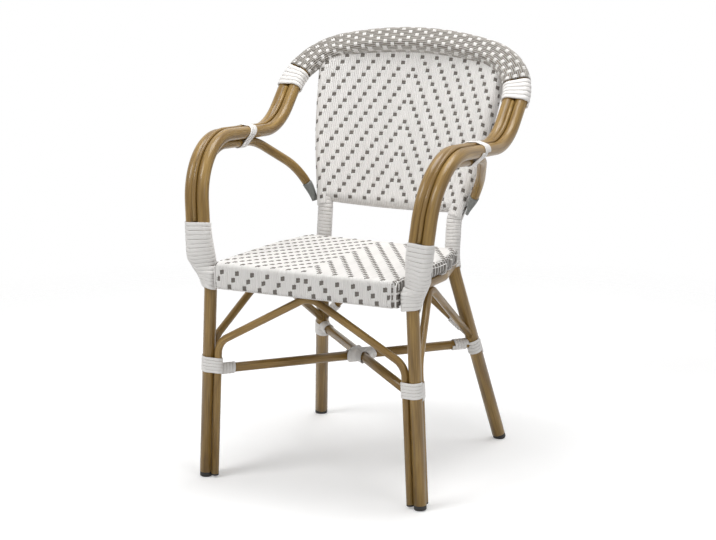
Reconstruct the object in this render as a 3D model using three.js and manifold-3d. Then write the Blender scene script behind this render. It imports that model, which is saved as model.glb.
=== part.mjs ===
import * as THREE from 'three';
import { mergeVertices } from 'three/addons/utils/BufferGeometryUtils.js';
import Module from 'manifold-3d';

// A bistro armchair of bent tubes, tied with flat cord, with a woven seat, back and hoop.
// Millimetres. It faces -Y, Z is up, and X = 0 is its plane of symmetry.
// Each pair of pieces is made on the +X side and mirrored.

const wasm = await Module();
wasm.setup();

// Fits and facets
const gap = 0.3;
const overrun = 4;
const arcSag = 0.8;
const widestStep = Math.PI / 10;
const wideSides = 12;
const slimSides = 12;
const hiddenSides = 8;

// Tube diameters
const armDiameter = 25.4;
const rearDiameter = 27.5;
const braceDiameter = 15.5;
const stretcherDiameter = 19;
const armBraceDiameter = 19;
const grooveRodDiameter = 8;
const seatRingDiameter = 22;
const sideRailDiameter = 19;
const backRailDiameter = 19;

// Seat, measured along its own plane, which falls towards the back
const seatFrontHeight = 455;
const seatPitch = 0.035;
const seatDepth = 374;
const seatLegGap = 5;
const seatOverhang = 31.5;
const seatMiddleTaper = 4;
const seatRearTaper = 22;
const seatTaperLength = 124;
const seatCornerRadius = 18;
const seatSideRadius = 260;
const seatEdgeRounding = 9;
const weaveThickness = 3;

// Front leg: its axis from the floor to its bend at the seat
const footHalfWidth = 237;
const frontLegY = -225.5;
const legTopLean = 20;
const legTopDrop = 30;
const legBendRadius = 120;

// Arm and hoop: each corner of the line between the two arm tubes, measured from the one before it
const frontCornerOut = 20;
const frontCornerForward = 12.4;
const frontCornerRise = 80;
const armFrontOut = 17.1;
const armFrontBack = 19.2;
const armFrontRise = 184.7;
const armFrontRadius = 127;
const armRearOut = 3.1;
const armRearForward = 16.8;
const armRearDrop = 29.7;
const armRearRadius = 131;
const hoopIn = 0.2;
const hoopBack = 144.5;
const hoopRise = 143.9;
const hoopRadius = 126;
const crownBack = 52.8;
const crownRise = 57.3;
const pairLead = 5;
const outerEndRise = 80;

// Rear leg and back post: one tube from the rear foot to the hoop. Its top is measured from the
// hoop's corner, and the rest of it from the seat's rear edge.
const rearFootOut = 66.6;
const rearFootBack = 121.8;
const waistIn = 23.5;
const waistClearance = 20.5;
const waistDrop = 51;
const postFootBack = 12;
const postFootRise = 94;
const postMiddleIn = 15;
const postMiddleForward = 56;
const postMiddleDrop = 138;
const postTopIn = 60;
const postTopForward = 0.7;
const postTopDrop = 14.9;
const waistRadius = 150;
const postFootRadius = 90;
const postMiddleRadius = 1200;

// Braces: tubes that stand beside the front legs, bend in above the leg cords and meet under the seat
const tailEndHeight = 9;
const tailBendRise = 29;
const tailBendRadius = 40;
const apexBendRadius = 24;
const frontApexHalfLength = 13;
const sideApexBack = 170.5;
const sideApexHalfLength = 10;
const rearApexHalfLength = 25;
const sideBraceEndRise = 22;
const rearBraceEndRise = 24;

// Stretchers
const stretcherDrop = 231;

// Arm braces: under the arm bend, tied to the arm, then down to the back post
const armBraceInset = 35.71;
const armTieForward = 137.7;
const armTieWidth = 40;
const armBraceBendBack = 51;
const armBraceBendRadius = 100;
const armBraceKneeOut = 26;
const armBraceKneeRise = 58;
const armBraceKneeBack = 5;
const armBraceKneeRadius = 118;
const armBraceEndLength = 42;
const armBraceTipThickness = 7;
const armBraceTipWidth = 17;
const armBraceTipGap = 2.8;
const armBraceEndSkin = 0.8;

// Back
const backBow = 26;
const backBottomRise = 9;
const backRailRise = 16;
const backRowRise = 45;
const backEndSteps = 6;

// Cord
const cordThickness = 2;
const cordSlit = 0.7;
const cordSteps = 10;
const legCordSteps = 12;
const cornerCordRise = 26;
const cornerCordDrop = 34;
const cornerCordTurns = 18;
const cornerLapIn = 8.2;
const cornerLapForward = 11;
const cornerLapRadius = 8.3;
const cornerLapFade = 25;
const postCordTopGap = 6;
const postCordDrop = 12;
const postCordTurns = 12;
const legCordDrop = 6;
const legCordRise = 32;
const legCordTurns = 6;
const rearCordDrop = 24;
const rearCordRise = 10;
const rearCordTurns = 5;
const sleeveLength = 36;
const hoopCordDrop = 70.7;
const hoopCordLength = 56;
const hoopCordThickness = 4;
const bindingDiameter = 58;
const bindingHeight = 25;
const bindingRounding = 9;

// Feet
const footHeight = 10;

const armRadius = armDiameter / 2;
const rearRadius = rearDiameter / 2;
const braceRadius = braceDiameter / 2;
const stretcherRadius = stretcherDiameter / 2;
const armBraceRadius = armBraceDiameter / 2;
const grooveRodRadius = grooveRodDiameter / 2;
const seatRingRadius = seatRingDiameter / 2;
const sideRailRadius = sideRailDiameter / 2;
const backRailRadius = backRailDiameter / 2;
const pairHalf = armRadius + gap / 2;
const tailOffset = armRadius + braceRadius + gap;
const cordBuild = gap + cordThickness;

// Heights and places that follow from the sizes above
const legTopHalfWidth = footHalfWidth - legTopLean;
const legTopHeight = seatFrontHeight - legTopDrop;
const seatFrontY = frontLegY - seatOverhang;
const seatFrontHalfWidth = legTopHalfWidth - armRadius - cordBuild - seatLegGap;
const seatMiddleHalfWidth = seatFrontHalfWidth - seatMiddleTaper;
const seatRearHalfWidth = seatMiddleHalfWidth - seatRearTaper;
const seatMiddleDepth = seatDepth - seatTaperLength;
const waistHalfWidth = seatRearHalfWidth - waistIn;
const waistY = seatFrontY + seatDepth + waistClearance;
const waistHeight = seatFrontHeight - waistDrop;
const backBottomHeight = waistHeight + postFootRise + backBottomRise;
const stretcherHeight = seatFrontHeight - stretcherDrop;
const legCordTop = stretcherHeight + legCordRise;
const tailBendHeight = legCordTop + tailBendRise;
const frontRailDrop = weaveThickness + gap + seatRingDiameter + gap + armRadius;
const frontRailTop = seatFrontHeight - frontRailDrop + armRadius;

const along = new THREE.Vector3(1, 0, 0);
const up = new THREE.Vector3(0, 0, 1);
const point = (x, y, z) => new THREE.Vector3(x, y, z);
const mirror = (v) => point(-v.x, v.y, v.z);
const mix = (a, b, share) => a.clone().lerp(b, share);
const offset = (v, x, y, z) => point(v.x + x, v.y + y, v.z + z);

// A line of stations with a frame at each, kept square by turning the first normal along the line.
class Route extends THREE.Curve {
  constructor(stations, tangents, normals) {
    super();
    this.stations = stations;
    this.tangents = tangents;
    this.normals = normals;
    this.binormals = tangents.map((tangent, i) => tangent.clone().cross(normals[i]));
    this.travel = [0];
    for (let i = 1; i < stations.length; i++) {
      this.travel.push(this.travel[i - 1] + stations[i].distanceTo(stations[i - 1]));
    }
    this.length = this.travel.at(-1);
  }

  getPoint(share) {
    return this.at(share * this.length).point;
  }

  getSpacedPoints() {
    return this.stations;
  }

  computeFrenetFrames() {
    return { tangents: this.tangents, normals: this.normals, binormals: this.binormals };
  }

  at(distance) {
    const next = Math.max(1, this.travel.findIndex((value) => value >= distance));
    const end = distance >= this.length ? this.stations.length - 1 : next;
    const share = (distance - this.travel[end - 1]) / (this.travel[end] - this.travel[end - 1]);
    const between = (list) => mix(list[end - 1], list[end], share);
    return {
      point: between(this.stations),
      tangent: between(this.tangents),
      normal: between(this.normals),
      binormal: between(this.binormals),
    };
  }

  // The distance at which measure(point) passes zero on the route, or else the nearer end.
  passing(measure) {
    for (let i = 1; i < this.stations.length; i++) {
      const before = measure(this.stations[i - 1]);
      const after = measure(this.stations[i]);
      if (before * after <= 0) {
        const share = before === after ? 0 : before / (before - after);
        return this.travel[i - 1] + share * (this.travel[i] - this.travel[i - 1]);
      }
    }
    const [first, last] = [this.stations[0], this.stations.at(-1)].map((p) => Math.abs(measure(p)));
    return first < last ? 0 : this.length;
  }

  atHeight(height) {
    return this.at(this.passing((p) => p.z - height));
  }

  slice(from, to) {
    const within = (i) => this.travel[i] > from && this.travel[i] < to;
    const inside = this.travel.map((value, i) => i).filter(within);
    const ends = [this.at(from), this.at(to)];
    const gather = (key, list) => [ends[0][key], ...inside.map((i) => list[i]), ends[1][key]];
    return new Route(gather('point', this.stations), gather('tangent', this.tangents),
      gather('normal', this.normals));
  }

  shifted(across, lift = 0) {
    const stations = this.stations.map((p, i) => p.clone()
      .addScaledVector(this.normals[i], across).addScaledVector(this.binormals[i], lift));
    return new Route(stations, this.tangents, this.normals);
  }

  // The other route's frames are turned half round where they face the other way at the join.
  joined(other) {
    const facing = Math.sign(this.normals.at(-1).dot(other.normals[0]));
    const normals = other.normals.map((n) => n.clone().multiplyScalar(facing));
    return new Route([...this.stations, ...other.stations], [...this.tangents, ...other.tangents],
      [...this.normals, ...normals]);
  }

  reversed() {
    const back = (list) => [...list].reverse();
    return new Route(back(this.stations), back(this.tangents).map((t) => t.clone().negate()),
      back(this.normals));
  }

  mirrored() {
    return new Route(this.stations.map(mirror), this.tangents.map(mirror),
      this.normals.map((n) => mirror(n).negate()));
  }
}

// Normals carried along a list of tangents without twist.
function carriedNormals(tangents, firstNormal) {
  const normals = [];
  let normal = firstNormal.clone();
  tangents.forEach((tangent, i) => {
    if (i > 0) {
      normal.applyQuaternion(new THREE.Quaternion().setFromUnitVectors(tangents[i - 1], tangent));
    }
    normal.addScaledVector(tangent, -normal.dot(tangent)).normalize();
    normals.push(normal.clone());
  });
  return normals;
}

// How much of both neighbouring runs a bend takes, and the centre of its arc.
function bendAt(before, corner, after, radius) {
  const back = before.clone().sub(corner).normalize();
  const on = after.clone().sub(corner).normalize();
  const half = back.angleTo(on) / 2;
  const run = radius / Math.tan(half);
  const centre = back.clone().add(on).normalize().multiplyScalar(radius / Math.sin(half)).add(corner);
  return { back, on, run, centre, turn: Math.PI - 2 * half };
}

// The radius of the bend at `corner` that starts where the bend at `previous` ends.
function meetingRadius(first, previous, corner, after, previousRadius) {
  const room = previous.distanceTo(corner) - bendAt(first, previous, corner, previousRadius).run;
  const half = previous.clone().sub(corner).angleTo(after.clone().sub(corner)) / 2;
  return room * Math.tan(half);
}

// A route of straight runs with a round bend at each inner corner.
function bent(corners, radii, firstNormal = along) {
  const stations = [corners[0].clone()];
  const tangents = [corners[1].clone().sub(corners[0]).normalize()];
  for (let i = 1; i < corners.length - 1; i++) {
    const { back, on, run, centre, turn } = bendAt(corners[i - 1], corners[i], corners[i + 1], radii[i - 1]);
    const start = corners[i].clone().addScaledVector(back, run);
    const axis = back.clone().negate().cross(on).normalize();
    const widest = Math.min(widestStep, 2 * Math.acos(1 - arcSag / radii[i - 1]));
    const steps = Math.max(1, Math.ceil(turn / widest));
    const meetsLast = start.distanceTo(stations.at(-1)) < gap;
    for (let step = meetsLast ? 1 : 0; step <= steps; step++) {
      const spin = (v) => v.clone().applyAxisAngle(axis, turn * step / steps);
      stations.push(spin(start.clone().sub(centre)).add(centre));
      tangents.push(spin(back.clone().negate()));
    }
  }
  stations.push(corners.at(-1).clone());
  tangents.push(corners.at(-1).clone().sub(corners.at(-2)).normalize());
  return new Route(stations, tangents, carriedNormals(tangents, firstNormal));
}

function circle(radius, sides) {
  const corner = (i) => 2 * Math.PI * i / sides;
  return new THREE.Shape(Array.from({ length: sides },
    (_, i) => new THREE.Vector2(radius * Math.cos(corner(i)), radius * Math.sin(corner(i)))));
}

function tube(route, radius, sides = slimSides) {
  return new THREE.ExtrudeGeometry(circle(radius, sides),
    { steps: route.stations.length - 1, bevelEnabled: false, extrudePath: route });
}

// A body through rings of points. A closed one runs from its last ring back to its first.
function loft(rings, closed = false) {
  const count = rings[0].length;
  const indices = [];
  for (let ring = 0; ring < rings.length - (closed ? 0 : 1); ring++) {
    const here = ring * count;
    const next = (ring + 1) % rings.length * count;
    for (let side = 0; side < count; side++) {
      const other = (side + 1) % count;
      indices.push(here + side, here + other, next + other, here + side, next + other, next + side);
    }
  }
  if (!closed) {
    const end = (rings.length - 1) * count;
    for (let side = 1; side < count - 1; side++) {
      indices.push(0, side + 1, side, end, end + side, end + side + 1);
    }
  }
  const geometry = new THREE.BufferGeometry();
  geometry.setAttribute('position',
    new THREE.Float32BufferAttribute(rings.flat().flatMap((p) => p.toArray()), 3));
  geometry.setIndex(indices);
  return geometry;
}

// The corners of the outline drawn tight round circles [x, y, radius], `grow` outside them.
function tightOutline(circles, steps, grow) {
  const angle = 2 * Math.PI / steps;
  const reach = (turn) => grow + Math.max(...circles.map(
    ([x, y, radius]) => x * Math.cos(turn) + y * Math.sin(turn) + radius));
  return Array.from({ length: steps }, (_, i) => {
    const turn = angle * i;
    const side = (reach(turn + angle) - reach(turn) * Math.cos(angle)) / Math.sin(angle);
    return new THREE.Vector2(reach(turn), side).rotateAround(new THREE.Vector2(0, 0), turn);
  });
}

const placed = (frame, x, y) => frame.point.clone()
  .addScaledVector(frame.normal, x).addScaledVector(frame.binormal, y);

function outlineRing(frame, circles, steps, grow) {
  return tightOutline(circles, steps, grow).map((corner) => placed(frame, corner.x, corner.y));
}

// A sleeve of one thickness along a route, tight round the circles that circlesAt gives.
function sleeve(route, circlesAt, thickness, steps) {
  const ringsAt = (grow) => route.travel.map(
    (distance) => outlineRing(route.at(distance), circlesAt(distance), steps, grow));
  return loft([...ringsAt(gap + thickness), ...ringsAt(gap).reverse()], true);
}

// The solid space round the circles along a route, `grow` outside them.
function spaceRound(route, circlesAt, steps, grow, rings = route.travel) {
  return loft(rings.map((distance) => outlineRing(route.at(distance), circlesAt(distance), steps, grow)));
}

// The circle that a second line makes where it passes the plane of a frame.
function circleBeside(frame, line, radius) {
  const meeting = line.passing((p) => p.clone().sub(frame.point).dot(frame.tangent));
  const beside = line.at(meeting).point.sub(frame.point);
  return [beside.dot(frame.normal), beside.dot(frame.binormal), radius];
}

const roundFit = (radius, sides) => radius / Math.cos(Math.PI / sides);
const keepOut = (route, radius) => tube(route, roundFit(radius + gap, wideSides), wideSides);

const leastGaps = [];

// Flat cord wound in one unbroken run round the circles that circlesAt gives along the route.
function winding(name, route, circlesAt, turns, steps) {
  const width = route.length / turns - cordSlit;
  const run = route.length - width;
  const count = (turns - 1) * steps;
  const edge = (distance, grow, corner) => {
    const outline = tightOutline(circlesAt(distance), steps, gap + grow);
    return placed(route.at(distance), outline[corner].x, outline[corner].y);
  };
  const rings = Array.from({ length: count + 1 }, (_, i) => {
    const low = run * i / count;
    const corner = i % steps;
    return [edge(low + width, cordThickness, corner), edge(low, cordThickness, corner),
      edge(low, 0, corner), edge(low + width, 0, corner)];
  });
  const near = rings.slice(steps).flatMap((ring, i) => [
    ring[1].distanceTo(rings[i][0]), ring[2].distanceTo(rings[i][3])]);
  leastGaps.push({ name, least: Math.min(...near) });
  return loft(rings);
}

function toSolid(geometry) {
  const bare = geometry.clone();
  bare.deleteAttribute('normal');
  bare.deleteAttribute('uv');
  const merged = mergeVertices(bare);
  return new wasm.Manifold(new wasm.Mesh({
    numProp: 3,
    vertProperties: merged.attributes.position.array,
    triVerts: new Uint32Array(merged.index.array),
  }));
}

function toGeometry(solid) {
  const mesh = solid.getMesh();
  const geometry = new THREE.BufferGeometry();
  geometry.setAttribute('position', new THREE.BufferAttribute(mesh.vertProperties, 3));
  geometry.setIndex(new THREE.BufferAttribute(mesh.triVerts, 1));
  return geometry;
}

function cut(geometry, ...tools) {
  return toGeometry(tools.reduce((solid, tool) => solid.subtract(toSolid(tool)), toSolid(geometry)));
}

function mirroredGeometry(geometry) {
  const copy = mergeVertices(geometry.clone().deleteAttribute('uv').deleteAttribute('normal'));
  copy.scale(-1, 1, 1);
  const index = copy.index.array;
  for (let i = 0; i < index.length; i += 3) {
    [index[i + 1], index[i + 2]] = [index[i + 2], index[i + 1]];
  }
  return copy;
}

const finishes = {
  tube: new THREE.MeshStandardMaterial({ color: 0x9a7748, roughness: 0.42, metalness: 0 }),
  strand: new THREE.MeshStandardMaterial({ color: 0xe6e3de, roughness: 0.6, metalness: 0 }),
  band: new THREE.MeshStandardMaterial({ color: 0xa29a93, roughness: 0.6, metalness: 0 }),
  end: new THREE.MeshStandardMaterial({ color: 0x777a78, roughness: 0.55, metalness: 0 }),
  foot: new THREE.MeshStandardMaterial({ color: 0x1c1a19, roughness: 0.6, metalness: 0 }),
};

const chair = new THREE.Group();

function add(name, geometry, finish) {
  const solid = geometry.clone();
  solid.computeVertexNormals();
  const mesh = new THREE.Mesh(solid, finish.clone());
  mesh.name = name;
  chair.add(mesh);
}

function addPair(name, geometry, finish) {
  add(`${name}_right`, geometry, finish);
  add(`${name}_left`, mirroredGeometry(geometry), finish);
}

// Front legs, arms and hoop
const foot = point(footHalfWidth, frontLegY, 0);
const legTop = point(legTopHalfWidth, frontLegY, legTopHeight);
const legLine = bent([foot, legTop], []);
const frontCorner = offset(legTop, frontCornerOut, -frontCornerForward, frontCornerRise);
const armFront = offset(frontCorner, armFrontOut, armFrontBack, armFrontRise);
const armRear = point(armFront.x + armRearOut, waistY - armRearForward, armFront.z - armRearDrop);
const hoopCorner = offset(armRear, -hoopIn, hoopBack, hoopRise);
const crown = offset(hoopCorner, -hoopCorner.x, crownBack, crownRise);
const crownRadius = meetingRadius(armRear, hoopCorner, crown, mirror(hoopCorner), hoopRadius);
const armFrontBend = bendAt(frontCorner, armFront, armRear, armFrontRadius);
const pairStart = armFront.clone().addScaledVector(armFrontBend.back, armFrontBend.run + pairLead);
const pair = bent(
  [pairStart, armFront, armRear, hoopCorner, crown,
    mirror(hoopCorner), mirror(armRear), mirror(armFront), mirror(pairStart)],
  [armFrontRadius, armRearRadius, hoopRadius, crownRadius, hoopRadius, armRearRadius, armFrontRadius]);
const innerArm = pair.shifted(-pairHalf);
const outerArm = pair.shifted(pairHalf);

// From a foot to where the two arm tubes run side by side
const pairAim = armFront.clone().sub(frontCorner).normalize();
const innerCorner = innerArm.stations[0].clone()
  .addScaledVector(pairAim, -pairStart.distanceTo(frontCorner));
const legStart = legLine.at(footHeight);
const legRoute = bent([legStart.point, legTop, innerCorner, innerArm.stations[0]],
  [legBendRadius, legBendRadius]);
const legRun = legRoute.slice(0, legRoute.length - gap);
const innerTube = legRun.joined(innerArm).joined(legRun.mirrored().reversed());

const cornerCordBottom = legTopHeight - cornerCordDrop;
const outerEndHeight = cornerCordBottom + outerEndRise;
const outerEnd = outerArm.stations[0].clone().addScaledVector(pairAim,
  -(pairStart.z - outerEndHeight) / pairAim.z);
const outerLead = bent([outerEnd, outerArm.stations[0].clone().addScaledVector(pairAim, -gap)], []);
const outerTube = outerLead.joined(outerArm).joined(outerLead.mirrored().reversed());

add('front_leg_and_arm_tube', tube(innerTube, armRadius, wideSides), finishes.tube);
add('outer_arm_tube', tube(outerTube, armRadius, wideSides), finishes.tube);

// Hoop: two wraps of cord and the woven band between them
const hoopWrapStart = pair.passing((p) => p.z - hoopCorner.z + hoopCordDrop);
const hoopWrapEnd = hoopWrapStart + hoopCordLength;
const pairCircles = () => [[pairHalf, 0, armRadius], [-pairHalf, 0, armRadius]];
const hoopWrapRoute = pair.slice(hoopWrapStart, hoopWrapEnd);
addPair('hoop_wrap', sleeve(hoopWrapRoute, pairCircles, hoopCordThickness, slimSides), finishes.strand);
const bandRoute = pair.slice(hoopWrapEnd + gap, pair.length - hoopWrapEnd - gap);
add('hoop_weave', sleeve(bandRoute, pairCircles, weaveThickness, slimSides), finishes.band);
const bandSpace = spaceRound(bandRoute, pairCircles, slimSides, weaveThickness + 2 * gap);

// Rear legs and back posts
const waist = point(waistHalfWidth, waistY, waistHeight);
const rearFoot = offset(waist, rearFootOut, rearFootBack, -waistHeight);
const postFoot = offset(waist, 0, postFootBack, postFootRise);
const postTop = offset(hoopCorner, -postTopIn, -postTopForward, -postTopDrop);
const postMiddle = offset(postTop, -postMiddleIn, -postMiddleForward, -postMiddleDrop);
const rearLine = bent([rearFoot, waist], []);
const rearStart = rearLine.at(footHeight);
const post = bent([rearStart.point, waist, postFoot, postMiddle, postTop],
  [waistRadius, postFootRadius, postMiddleRadius]);
addPair('rear_leg_and_post', cut(tube(post, rearRadius, wideSides), bandSpace), finishes.tube);

// Solids that the ends of the rails, braces and stretchers are shaped against
const legKeepOut = keepOut(legRoute, armRadius);
const postKeepOut = keepOut(post, rearRadius);
const rearLegKeepOut = keepOut(rearLine, rearRadius);

// Cord windings, each with the space that it keeps free of what ends against it
function addWinding(name, route, circlesAt, turns, steps) {
  addPair(name, winding(name, route, circlesAt, turns, steps), finishes.strand);
  const rings = Array.from({ length: turns + 1 }, (_, turn) => route.length * turn / turns);
  return spaceRound(route, circlesAt, steps, cordBuild + gap, rings);
}

function between(line, low, high) {
  const passingAt = (height) => line.passing((p) => p.z - height);
  return line.slice(passingAt(low), passingAt(high));
}

const cornerRoute = between(legRoute, cornerCordBottom, frontCorner.z + cornerCordRise);
const cornerPitch = cornerRoute.length / cornerCordTurns;
const cornerRamp = between(legRoute, cornerCordBottom, outerEndHeight - overrun).length - cornerPitch;
const lapFadeEnd = cornerRoute.passing((p) => p.z - frontRailTop) + cornerLapFade;

// The leg, the outer tube that comes out beside it, and a lap over the end of the front rail
const cornerCircles = (distance) => {
  const [x, y] = circleBeside(cornerRoute.at(Math.max(distance, cornerRamp)), outerLead, armRadius);
  const share = Math.min(1, distance / cornerRamp);
  const lap = THREE.MathUtils.clamp((lapFadeEnd - distance) / cornerLapFade, 0, 1);
  return [[0, 0, armRadius], [x * share, y * share, armRadius],
    [-cornerLapIn * lap, -cornerLapForward * lap, cornerLapRadius]];
};
const cornerSpace = addWinding('corner_cord', cornerRoute, cornerCircles, cornerCordTurns, cordSteps);

const postCircles = () => [[0, 0, rearRadius]];
const postCordRoute = between(post, waistHeight - postCordDrop, backBottomHeight - postCordTopGap);
const postSpace = addWinding('post_cord', postCordRoute, postCircles, postCordTurns, cordSteps);
const rearCordRoute = between(rearLine, stretcherHeight - rearCordDrop, stretcherHeight + rearCordRise);
const rearSpace = addWinding('rear_leg_cord', rearCordRoute, postCircles, rearCordTurns, cordSteps);

const tailCircles = () => [[0, 0, armRadius], [-tailOffset, 0, braceRadius], [0, tailOffset, braceRadius]];
const legCordRoute = between(legLine, stretcherHeight - legCordDrop, legCordTop);
addWinding('front_leg_cord', legCordRoute, tailCircles, legCordTurns, legCordSteps);

// Seat
const seatFrame = new THREE.Matrix4().makeRotationX(-seatPitch).setPosition(0, seatFrontY, seatFrontHeight);
const onSeat = (x, depth, drop) => point(x, depth, -drop).applyMatrix4(seatFrame);

function seatOutline(inset) {
  const cornerRadius = Math.max(seatCornerRadius - inset, weaveThickness);
  const corners = [
    [seatFrontHalfWidth - inset, inset, cornerRadius],
    [seatMiddleHalfWidth - inset, seatMiddleDepth, seatSideRadius],
    [seatRearHalfWidth - inset, seatDepth - inset, cornerRadius],
  ];
  const right = corners.map(([x, y, radius]) => ({ spot: point(x, y, 0), radius }));
  const left = [...right].reverse().map(({ spot, radius }) => ({ spot: mirror(spot), radius }));
  const loop = [...right, ...left];
  const middle = mix(right[0].spot, left.at(-1).spot, 0.5);
  const line = bent([middle, ...loop.map(({ spot }) => spot), middle], loop.map(({ radius }) => radius), up);
  return new Route(line.stations.slice(1, -1), line.tangents.slice(1, -1), line.normals.slice(1, -1));
}

function flatSeat(inset) {
  const corners = seatOutline(inset).stations.map((p) => new THREE.Vector2(p.x, p.y));
  return new THREE.Shape(corners);
}

function seatSlab(inset, top, bottom) {
  const rounding = seatEdgeRounding - inset;
  const slab = new THREE.ExtrudeGeometry(flatSeat(inset + rounding), {
    depth: bottom - top - 2 * rounding, bevelEnabled: true, bevelSegments: 2,
    bevelSize: rounding, bevelThickness: rounding,
  });
  return slab.translate(0, 0, rounding - bottom).applyMatrix4(seatFrame);
}

const ringInset = weaveThickness + gap + seatRingRadius;
const slabDepth = seatRingDiameter + 2 * (weaveThickness + gap);
const fasciaDrop = frontRailDrop + armRadius + gap + weaveThickness;
const fasciaDepth = armDiameter + 2 * (weaveThickness + gap);

// The front of a slab as deep as the fascia
function fasciaSlab(inset, back) {
  const width = 2 * (seatFrontHalfWidth + overrun);
  const front = new THREE.BoxGeometry(width, 2 * back, 2 * (fasciaDrop + overrun)).applyMatrix4(seatFrame);
  return toSolid(seatSlab(inset, inset, fasciaDrop - inset)).intersect(toSolid(front));
}

const frontRailEnd = onSeat(seatFrontHalfWidth, weaveThickness + gap + armRadius, frontRailDrop);
const frontRailRoute = bent([frontRailEnd, mirror(frontRailEnd)], [], up);
add('front_rail', cut(tube(frontRailRoute, armRadius), legKeepOut, cornerSpace,
  mirroredGeometry(legKeepOut), mirroredGeometry(cornerSpace)), finishes.tube);

const seatUnderside = new THREE.ExtrudeGeometry(flatSeat(weaveThickness + seatRingDiameter),
  { depth: slabDepth, bevelEnabled: false });
const seatShell = toSolid(seatSlab(0, 0, slabDepth))
  .add(fasciaSlab(0, fasciaDepth))
  .subtract(toSolid(seatSlab(weaveThickness, weaveThickness, slabDepth - weaveThickness)))
  .subtract(fasciaSlab(weaveThickness, fasciaDepth + overrun))
  .subtract(toSolid(seatUnderside.translate(0, 0, -slabDepth - seatEdgeRounding).applyMatrix4(seatFrame)))
  .subtract(toSolid(keepOut(frontRailRoute, armRadius)));
add('seat_weave', toGeometry(seatShell), finishes.strand);

const ringRoute = seatOutline(ringInset);
const ringRings = ringRoute.stations.map((station, i) => {
  const inward = ringRoute.tangents[i].clone().cross(ringRoute.normals[i]);
  return Array.from({ length: hiddenSides }, (_, side) => {
    const turn = 2 * Math.PI * side / hiddenSides;
    return station.clone().addScaledVector(up, seatRingRadius * Math.cos(turn) - ringInset)
      .addScaledVector(inward, seatRingRadius * Math.sin(turn)).applyMatrix4(seatFrame);
  });
});
add('seat_ring', loft(ringRings, true), finishes.tube);

const sideRailDrop = slabDepth + gap + sideRailRadius;
const sideRailX = seatFrontHalfWidth - ringInset;
const sideRailFront = onSeat(sideRailX, fasciaDepth + 2 * tailOffset, sideRailDrop);
const sideRailMiddle = onSeat(sideRailX, seatMiddleDepth + seatCornerRadius, sideRailDrop);
const sideRailPost = post.atHeight(sideRailMiddle.z - (postFoot.y - sideRailMiddle.y) * seatPitch).point;
const sideRailLeg = legLine.atHeight(sideRailFront.z).point;
const sideRail = bent([sideRailLeg, sideRailFront, sideRailMiddle, sideRailPost],
  [tailBendRadius, tailBendRadius]);
addPair('side_rail', cut(tube(sideRail, sideRailRadius), legKeepOut, cornerSpace, postKeepOut, postSpace),
  finishes.tube);

const rearRailEnd = post.atHeight(sideRailPost.z);
add('rear_rail', cut(tube(bent([rearRailEnd.point, mirror(rearRailEnd.point)], [], up), sideRailRadius),
  postKeepOut, postSpace, mirroredGeometry(postKeepOut), mirroredGeometry(postSpace)), finishes.tube);

// Braces
const innerTail = (height) => placed(legLine.atHeight(height), -tailOffset, 0);
const rearTail = (height) => placed(legLine.atHeight(height), 0, tailOffset);
const frontApexHeight = onSeat(0, innerTail(tailBendHeight).y - seatFrontY, fasciaDrop).z - gap - braceRadius;
const frontApex = point(frontApexHalfLength, frontLegY, frontApexHeight);
const frontBraceHalf = [innerTail(tailEndHeight), innerTail(tailBendHeight), frontApex];
const frontBrace = bent([...frontBraceHalf, ...frontBraceHalf.map(mirror).reverse()],
  [tailBendRadius, apexBendRadius, apexBendRadius, tailBendRadius]);
add('front_brace', tube(frontBrace, braceRadius), finishes.tube);

const underSideRail = (y) => {
  const spot = sideRail.at(sideRail.passing((p) => p.y - y)).point;
  return spot.addScaledVector(up, -sideRailRadius - gap - braceRadius);
};
const sideBraceEnd = placed(rearLine.atHeight(stretcherHeight + sideBraceEndRise), 0, -braceRadius);
const sideApexY = frontLegY + sideApexBack;
const sideBrace = bent(
  [rearTail(tailEndHeight), rearTail(tailBendHeight), underSideRail(sideApexY - sideApexHalfLength),
    underSideRail(sideApexY + sideApexHalfLength), sideBraceEnd],
  [tailBendRadius, apexBendRadius, apexBendRadius]);
addPair('side_brace', cut(tube(sideBrace, braceRadius), rearLegKeepOut), finishes.tube);

const rearApex = point(rearApexHalfLength, rearRailEnd.point.y,
  rearRailEnd.point.z - sideRailRadius - gap - braceRadius);
const rearBraceEnd = placed(rearLine.atHeight(stretcherHeight + rearBraceEndRise), -braceRadius, 0);
const rearBraceHalf = bent([rearBraceEnd, rearApex, mirror(rearApex)], [apexBendRadius]);
const rearBrace = bent([rearBraceEnd, rearApex, mirror(rearApex), mirror(rearBraceEnd)],
  [apexBendRadius, apexBendRadius]);
add('rear_brace', cut(tube(rearBrace, braceRadius), rearLegKeepOut, mirroredGeometry(rearLegKeepOut)),
  finishes.tube);

// Stretchers: one whole tube, and two halves that meet it at the crossing
const stretcherFront = legLine.atHeight(stretcherHeight).point;
const stretcherRear = rearLine.atHeight(stretcherHeight).point;
const crossing = mix(stretcherFront, mirror(stretcherRear),
  stretcherFront.x / (stretcherFront.x + stretcherRear.x));
const clusterRoute = between(legLine, stretcherHeight - stretcherDiameter, legCordTop);
const frontSpaces = [spaceRound(clusterRoute, tailCircles, legCordSteps, cordBuild + gap)];
const rearSpaces = [rearLegKeepOut, rearSpace];
const wholeRoute = bent([stretcherFront, mirror(stretcherRear)], []);
add('stretcher_whole', cut(tube(wholeRoute, stretcherRadius), ...frontSpaces,
  ...rearSpaces.map(mirroredGeometry)), finishes.tube);
const frontHalfRoute = bent([stretcherFront, crossing], []);
const rearHalfRoute = bent([stretcherRear, crossing], []);
const wholeKeepOut = keepOut(wholeRoute, stretcherRadius);
add('stretcher_front_half', cut(tube(frontHalfRoute.mirrored(), stretcherRadius),
  ...frontSpaces.map(mirroredGeometry), wholeKeepOut), finishes.tube);
add('stretcher_rear_half', cut(tube(rearHalfRoute, stretcherRadius), ...rearSpaces, wholeKeepOut),
  finishes.tube);

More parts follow.
